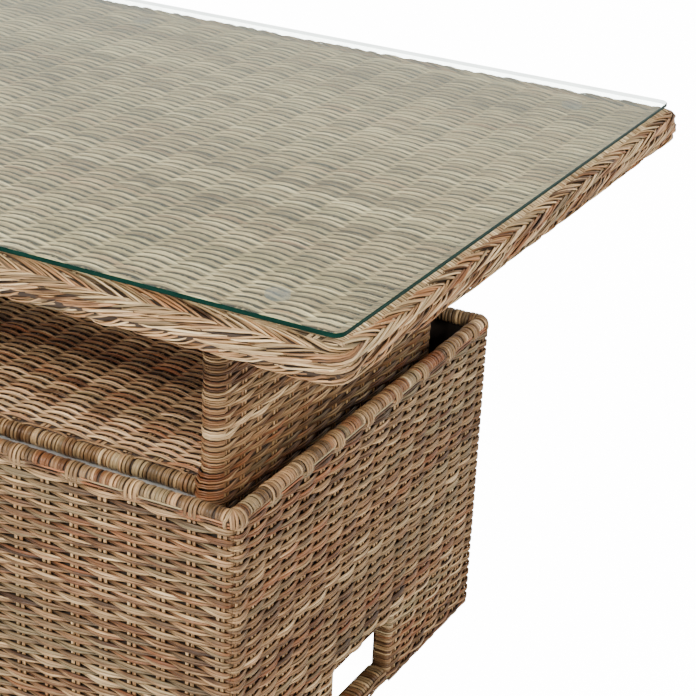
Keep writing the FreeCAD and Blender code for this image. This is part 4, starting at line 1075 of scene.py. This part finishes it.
def braid_side(side, seed):
    """A four-tier plait: upper bundles come over from the sheet and run forward and down to a spine,
    lower bundles run back and down from it in three tiers."""
    st = Strands(seed, 0.55, 0.2, 0.2, 0.16)
    g = st.rng
    sd = Side(side, BHX, BHY, BR)
    ends = side in ("right", "left")
    n = int(round(2 * sd.end / 37.5))
    period = 2 * sd.end / n

    def place(u, phi, rho):
        C, N2 = sd.at(u)
        flat = np.minimum(phi, math.radians(112.0))
        # a squarish section that hangs a little lower at the corners
        c, s = np.cos(flat), np.sin(flat)
        k = (np.abs(c) ** 3 + np.abs(s) ** 3) ** (-1 / 3.0)
        sag = 1.6 * step01(np.abs(u), sd.end - 60.0, sd.end - 8.0) * (s < 0) * -s
        P = lift3(C + N2 * (BW * rho * k * np.cos(phi))[:, None], BZ + BH * rho * k * s - sag)
        N = lift3(N2 * (np.sign(c) * c ** 2 / BW)[:, None], np.sign(s) * s ** 2 / BH)
        return P, N / np.linalg.norm(N, axis=1, keepdims=True)

    def on_end(u):
        """0 on a long side, 1 on an end, half at the corner."""
        k = float(np.clip((sd.end - abs(u)) / 70.0, 0, 1))
        return 0.5 + 0.5 * k if ends else 0.5 - 0.5 * k

    def strand(u0, length, d0, d1, wide, rise, tint, head, tail, bow=0.0, m=14):
        t = np.linspace(0, 1, m)
        u = u0 + length * t
        w1, w2 = g.normal() * 1.6, g.normal() * 1.1
        phi = np.radians(d0 + (d1 - d0) * (t + bow * np.sin(2 * PI * t)) + w1 * np.sin(PI * t) + w2 * np.sin(2 * PI * t))
        rho = np.full(m, rise)
        if head is not None:
            rho = head + (rho - head) * step01(t, -0.02, 0.24)
        rho = tail + (rho - tail) * (1 - step01(t, 0.70, 1.03))
        P, N = place(u, phi, rho)
        w = wide * (0.45 + 0.55 * np.sin(PI * np.clip(0.10 + 0.83 * t if head is not None else 0.42 + 0.52 * t, 0, 1)) ** 0.7)
        s = np.linspace(0, abs(length), m)
        drift = 0.22 * (smooth_noise(s, g, 24) - 0.5)
        ti = np.stack([np.clip(tint[0] + drift, 0, 1), np.full(m, tint[1]), np.full(m, tint[2])], -1)
        st.add(P, N, w, 1.2, "flat", ti)

    def group_tint(kind):
        base = np.clip(0.56 + 0.30 * (g.random() - 0.5), 0, 1)
        red = 0.75 * g.random() ** 2.0 if kind == "u" else 0.55 * g.random() ** 2.5
        return base, red, 0.6 * g.random() ** 3

    def one(gt):
        return (float(np.clip(gt[0] + g.normal() * 0.31, 0.02, 1)), float(np.clip(gt[1] + 0.15 * g.normal(), 0, 0.9)), gt[2])

    for i in range(n):
        u0 = -sd.end + (i + 0.5) * period
        e = on_end(u0)
        up, spine = 152.0 - 68.0 * e, 53.0 - 9.0 * e
        gt = group_tint("u")
        m = 5
        for j in range(m):
            du = (j - (m - 1) / 2) * period / m + g.normal() * 1.1
            lay = 0.965 + 0.075 * np.clip(g.normal(), -1.8, 0.9)
            strand(u0 - 60 + 24 * e + du, 74 - 22 * e + g.normal() * 4, up + 3 * g.normal(), spine - 4 + 2.5 * g.normal(),
                   1.42 + 0.2 * g.normal(), lay, one(gt), None if e < 0.5 else 0.90, 0.82, -0.05)
        for top, drop, back, big in ((4.0, 36.0, 14.0, 0.995), (-31.0, 40.0, 3.0, 1.035), (-70.0, 56.0, -8.0, 1.0)):
            gt = group_tint("l")
            m = 4
            for j in range(m):
                du = (j - (m - 1) / 2) * period / m + g.normal() * 2.0
                strand(u0 + back + du, -62 + g.normal() * 8, spine + top + 3.5 * g.normal(), spine + top - drop + 3.5 * g.normal(),
                       1.55 + 0.24 * g.normal(), big - 0.03 + 0.07 * np.clip(g.normal(), -1.8, 0.9), one(gt), 0.80, 0.80)
    # painted shade: a dark filling under the strands
    u = samples(-sd.end, sd.end, 10)
    th = np.linspace(0, 2 * PI, 17)[:-1]
    C, N2 = sd.at(u)
    kk = [(abs(math.cos(x)) ** 3 + abs(math.sin(x)) ** 3) ** (-1 / 3.0) * (0.87 if math.sin(x) > -0.2 else 0.925) for x in th]
    low = 1.6 * step01(np.abs(u), sd.end - 60.0, sd.end - 8.0)
    G = np.stack([lift3(C + N2 * (BW * k * math.cos(x)), BZ + BH * k * math.sin(x) - low * max(0.0, -math.sin(x))) for x, k in zip(th, kk)], 1)
    st.grid(G, 1, closed=True)
    return st


for i, side in enumerate(SIDES):
    braid_side(side, 220 + i).build("top_%s_plait" % side, [m_braid, m_gap_shade], "lift", "wicker_braid", "top_braid")


# ---------------------------------------------------------------- glass sheet
def glass():
    x, y, r, ch = 738.0, 427.5, 12.0, 0.7
    z0, z1 = 715.0, 720.0

    def ring(inset, z):
        pts = []
        for (sx, sy, a0) in ((1, -1, -90), (1, 1, 0), (-1, 1, 90), (-1, -1, 180)):
            c = np.array([sx * (x - r), sy * (y - r)])
            for k in range(13):
                a = math.radians(a0 + 90 * k / 12)
                pts.append((*(c + (r - inset) * np.array([math.cos(a), math.sin(a)])), z))
        return pts

    rings = [ring(ch, z0), ring(0, z0 + ch), ring(0, z1 - ch), ring(ch, z1)]
    n = len(rings[0])
    V = [p for rg in rings for p in rg]
    F, M = [], []
    for k in range(3):
        for i in range(n):
            j = (i + 1) % n
            F.append((k * n + i, k * n + j, (k + 1) * n + j, (k + 1) * n + i))
            M.append(1)
    F.append(tuple(range(n))[::-1])
    M.append(0)
    F.append(tuple(range(3 * n, 4 * n)))
    M.append(0)
    me = bpy.data.meshes.new("glass_sheet")
    me.from_pydata([tuple(np.array(v) * 0.001) for v in V], [], F)
    me.materials.append(glass_face_mat())
    me.materials.append(glass_edge_mat())
    me.polygons.foreach_set("material_index", np.array(M, np.int32))
    me.polygons.foreach_set("use_smooth", np.array([m == 1 and False for m in M]))
    me.update()
    ob = bpy.data.objects.new("glass_sheet", me)
    bpy.context.scene.collection.objects.link(ob)
    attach(ob, "lift")
    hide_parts("glass_top")


glass()

# ---------------------------------------------------------------- carried-over pieces
SLOT_MATS = {"frame_aluminium": m_alu, "black_steel": m_black, "bright_steel": m_steel, "nylon": m_nylon,
             "black_plastic": m_glide, "grip_rubber": m_grip, "silicone": m_pad, "lining": m_lining}
for sp in frame["record"]["subparts"]:
    m = SLOT_MATS.get(sp["material_slot"])
    if m:
        me = nodes[sp["node"]].data
        me.materials.clear()
        me.materials.append(m)


# ---------------------------------------------------------------- floor, light
def floor():
    m, t, out = new_mat("floor_paint")
    tc = node(t, "ShaderNodeTexCoord")
    n1 = noise(t, scaled(t, tc.outputs["Object"], (3, 3, 3)), 1.0, 3.0, 0.5)
    r = ramp(t, [(0.3, grey(0.86)), (0.7, grey(0.88))])
    t.links.new(n1, r.inputs[0])
    d = node(t, "ShaderNodeBsdfDiffuse")
    t.links.new(r.outputs[0], d.inputs["Color"])
    e = node(t, "ShaderNodeEmission", Strength=14.5)
    sp = node(t, "ShaderNodeSeparateXYZ")
    t.links.new(tc.outputs["Object"], sp.inputs[0])
    # painted shadow: the glow is cut out under the table, so the floor there shows darker as if in shadow
    dx = math_node(t, "SUBTRACT", math_node(t, "ABSOLUTE", sp.outputs[0]), 0.44)
    dy = math_node(t, "SUBTRACT", math_node(t, "ABSOLUTE", sp.outputs[1]), 0.30)
    painted_shadow_mask = ramp(t, [(0.0, grey(0.0)), (0.03, grey(1.0))])
    t.links.new(math_node(t, "MAXIMUM", dx, dy), painted_shadow_mask.inputs[0])
    t.links.new(painted_shadow_mask.outputs[0], e.inputs["Color"])
    lp = node(t, "ShaderNodeLightPath")
    mx = node(t, "ShaderNodeMixShader")
    ad = node(t, "ShaderNodeAddShader")
    t.links.new(d.outputs[0], ad.inputs[0])
    t.links.new(e.outputs[0], ad.inputs[1])
    t.links.new(lp.outputs["Is Camera Ray"], mx.inputs[0])
    t.links.new(d.outputs[0], mx.inputs[1])
    t.links.new(ad.outputs[0], mx.inputs[2])
    t.links.new(mx.outputs[0], out.inputs[0])
    me = bpy.data.meshes.new("floor")
    s = 14.0
    me.from_pydata([(-s, -s, 0), (s, -s, 0), (s, s, 0), (-s, s, 0)], [], [(0, 1, 2, 3)])
    me.materials.append(m)
    ob = bpy.data.objects.new("floor", me)
    bpy.context.scene.collection.objects.link(ob)
    ob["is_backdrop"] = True


floor()
world = bpy.data.worlds.new("studio")
bpy.context.scene.world = world
world.use_nodes = True
wt = world.node_tree
wt.nodes.clear()
wo = wt.nodes.new("ShaderNodeOutputWorld")
b1 = node(wt, "ShaderNodeBackground", Strength=0.5)
b2 = node(wt, "ShaderNodeBackground", Strength=15.5)
b3 = node(wt, "ShaderNodeBackground", Strength=0.8)
lp = node(wt, "ShaderNodeLightPath")
mx = node(wt, "ShaderNodeMixShader")
mg = node(wt, "ShaderNodeMixShader")
wt.links.new(lp.outputs["Is Glossy Ray"], mg.inputs[0])
wt.links.new(b1.outputs[0], mg.inputs[1])
wt.links.new(b3.outputs[0], mg.inputs[2])
wt.links.new(lp.outputs["Is Camera Ray"], mx.inputs[0])
wt.links.new(mg.outputs[0], mx.inputs[1])
wt.links.new(b2.outputs[0], mx.inputs[2])
wt.links.new(mx.outputs[0], wo.inputs[0])
b1.inputs["Color"].default_value = (1, 0.99, 0.975, 1)
b2.inputs["Color"].default_value = (1, 1, 1, 1)
b3.inputs["Color"].default_value = (1, 1, 0.99, 1)


def area(name, loc, target, size, power, color=(1, 1, 1)):
    d = bpy.data.lights.new(name, "AREA")
    d.shape = "SQUARE"
    d.size = size
    d.energy = power
    d.color = color
    ob = bpy.data.objects.new(name, d)
    bpy.context.scene.collection.objects.link(ob)
    z = np.array(loc, float) - np.array(target, float)
    z /= np.linalg.norm(z)
    x = np.cross((0, 0, 1.0), z)
    x /= np.linalg.norm(x)
    y = np.cross(z, x)
    ob.matrix_world = Matrix(((x[0], y[0], z[0], loc[0]), (x[1], y[1], z[1], loc[1]), (x[2], y[2], z[2], loc[2]), (0, 0, 0, 1)))


area("key", (-0.9, -3.4, 3.2), (0.2, 0, 0.45), 1.0, 232, (1, 0.975, 0.93))
area("front", (0.3, -4.4, 1.5), (0.2, 0, 0.45), 1.2, 76, (1, 0.975, 0.94))
area("back", (1.9, 3.7, 1.9), (0, 0, 0.4), 1.2, 38, (1, 0.985, 0.95))
area("side", (3.8, -1.2, 2.4), (0.3, 0, 0.4), 1.0, 140, (1, 0.98, 0.94))

lo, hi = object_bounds()
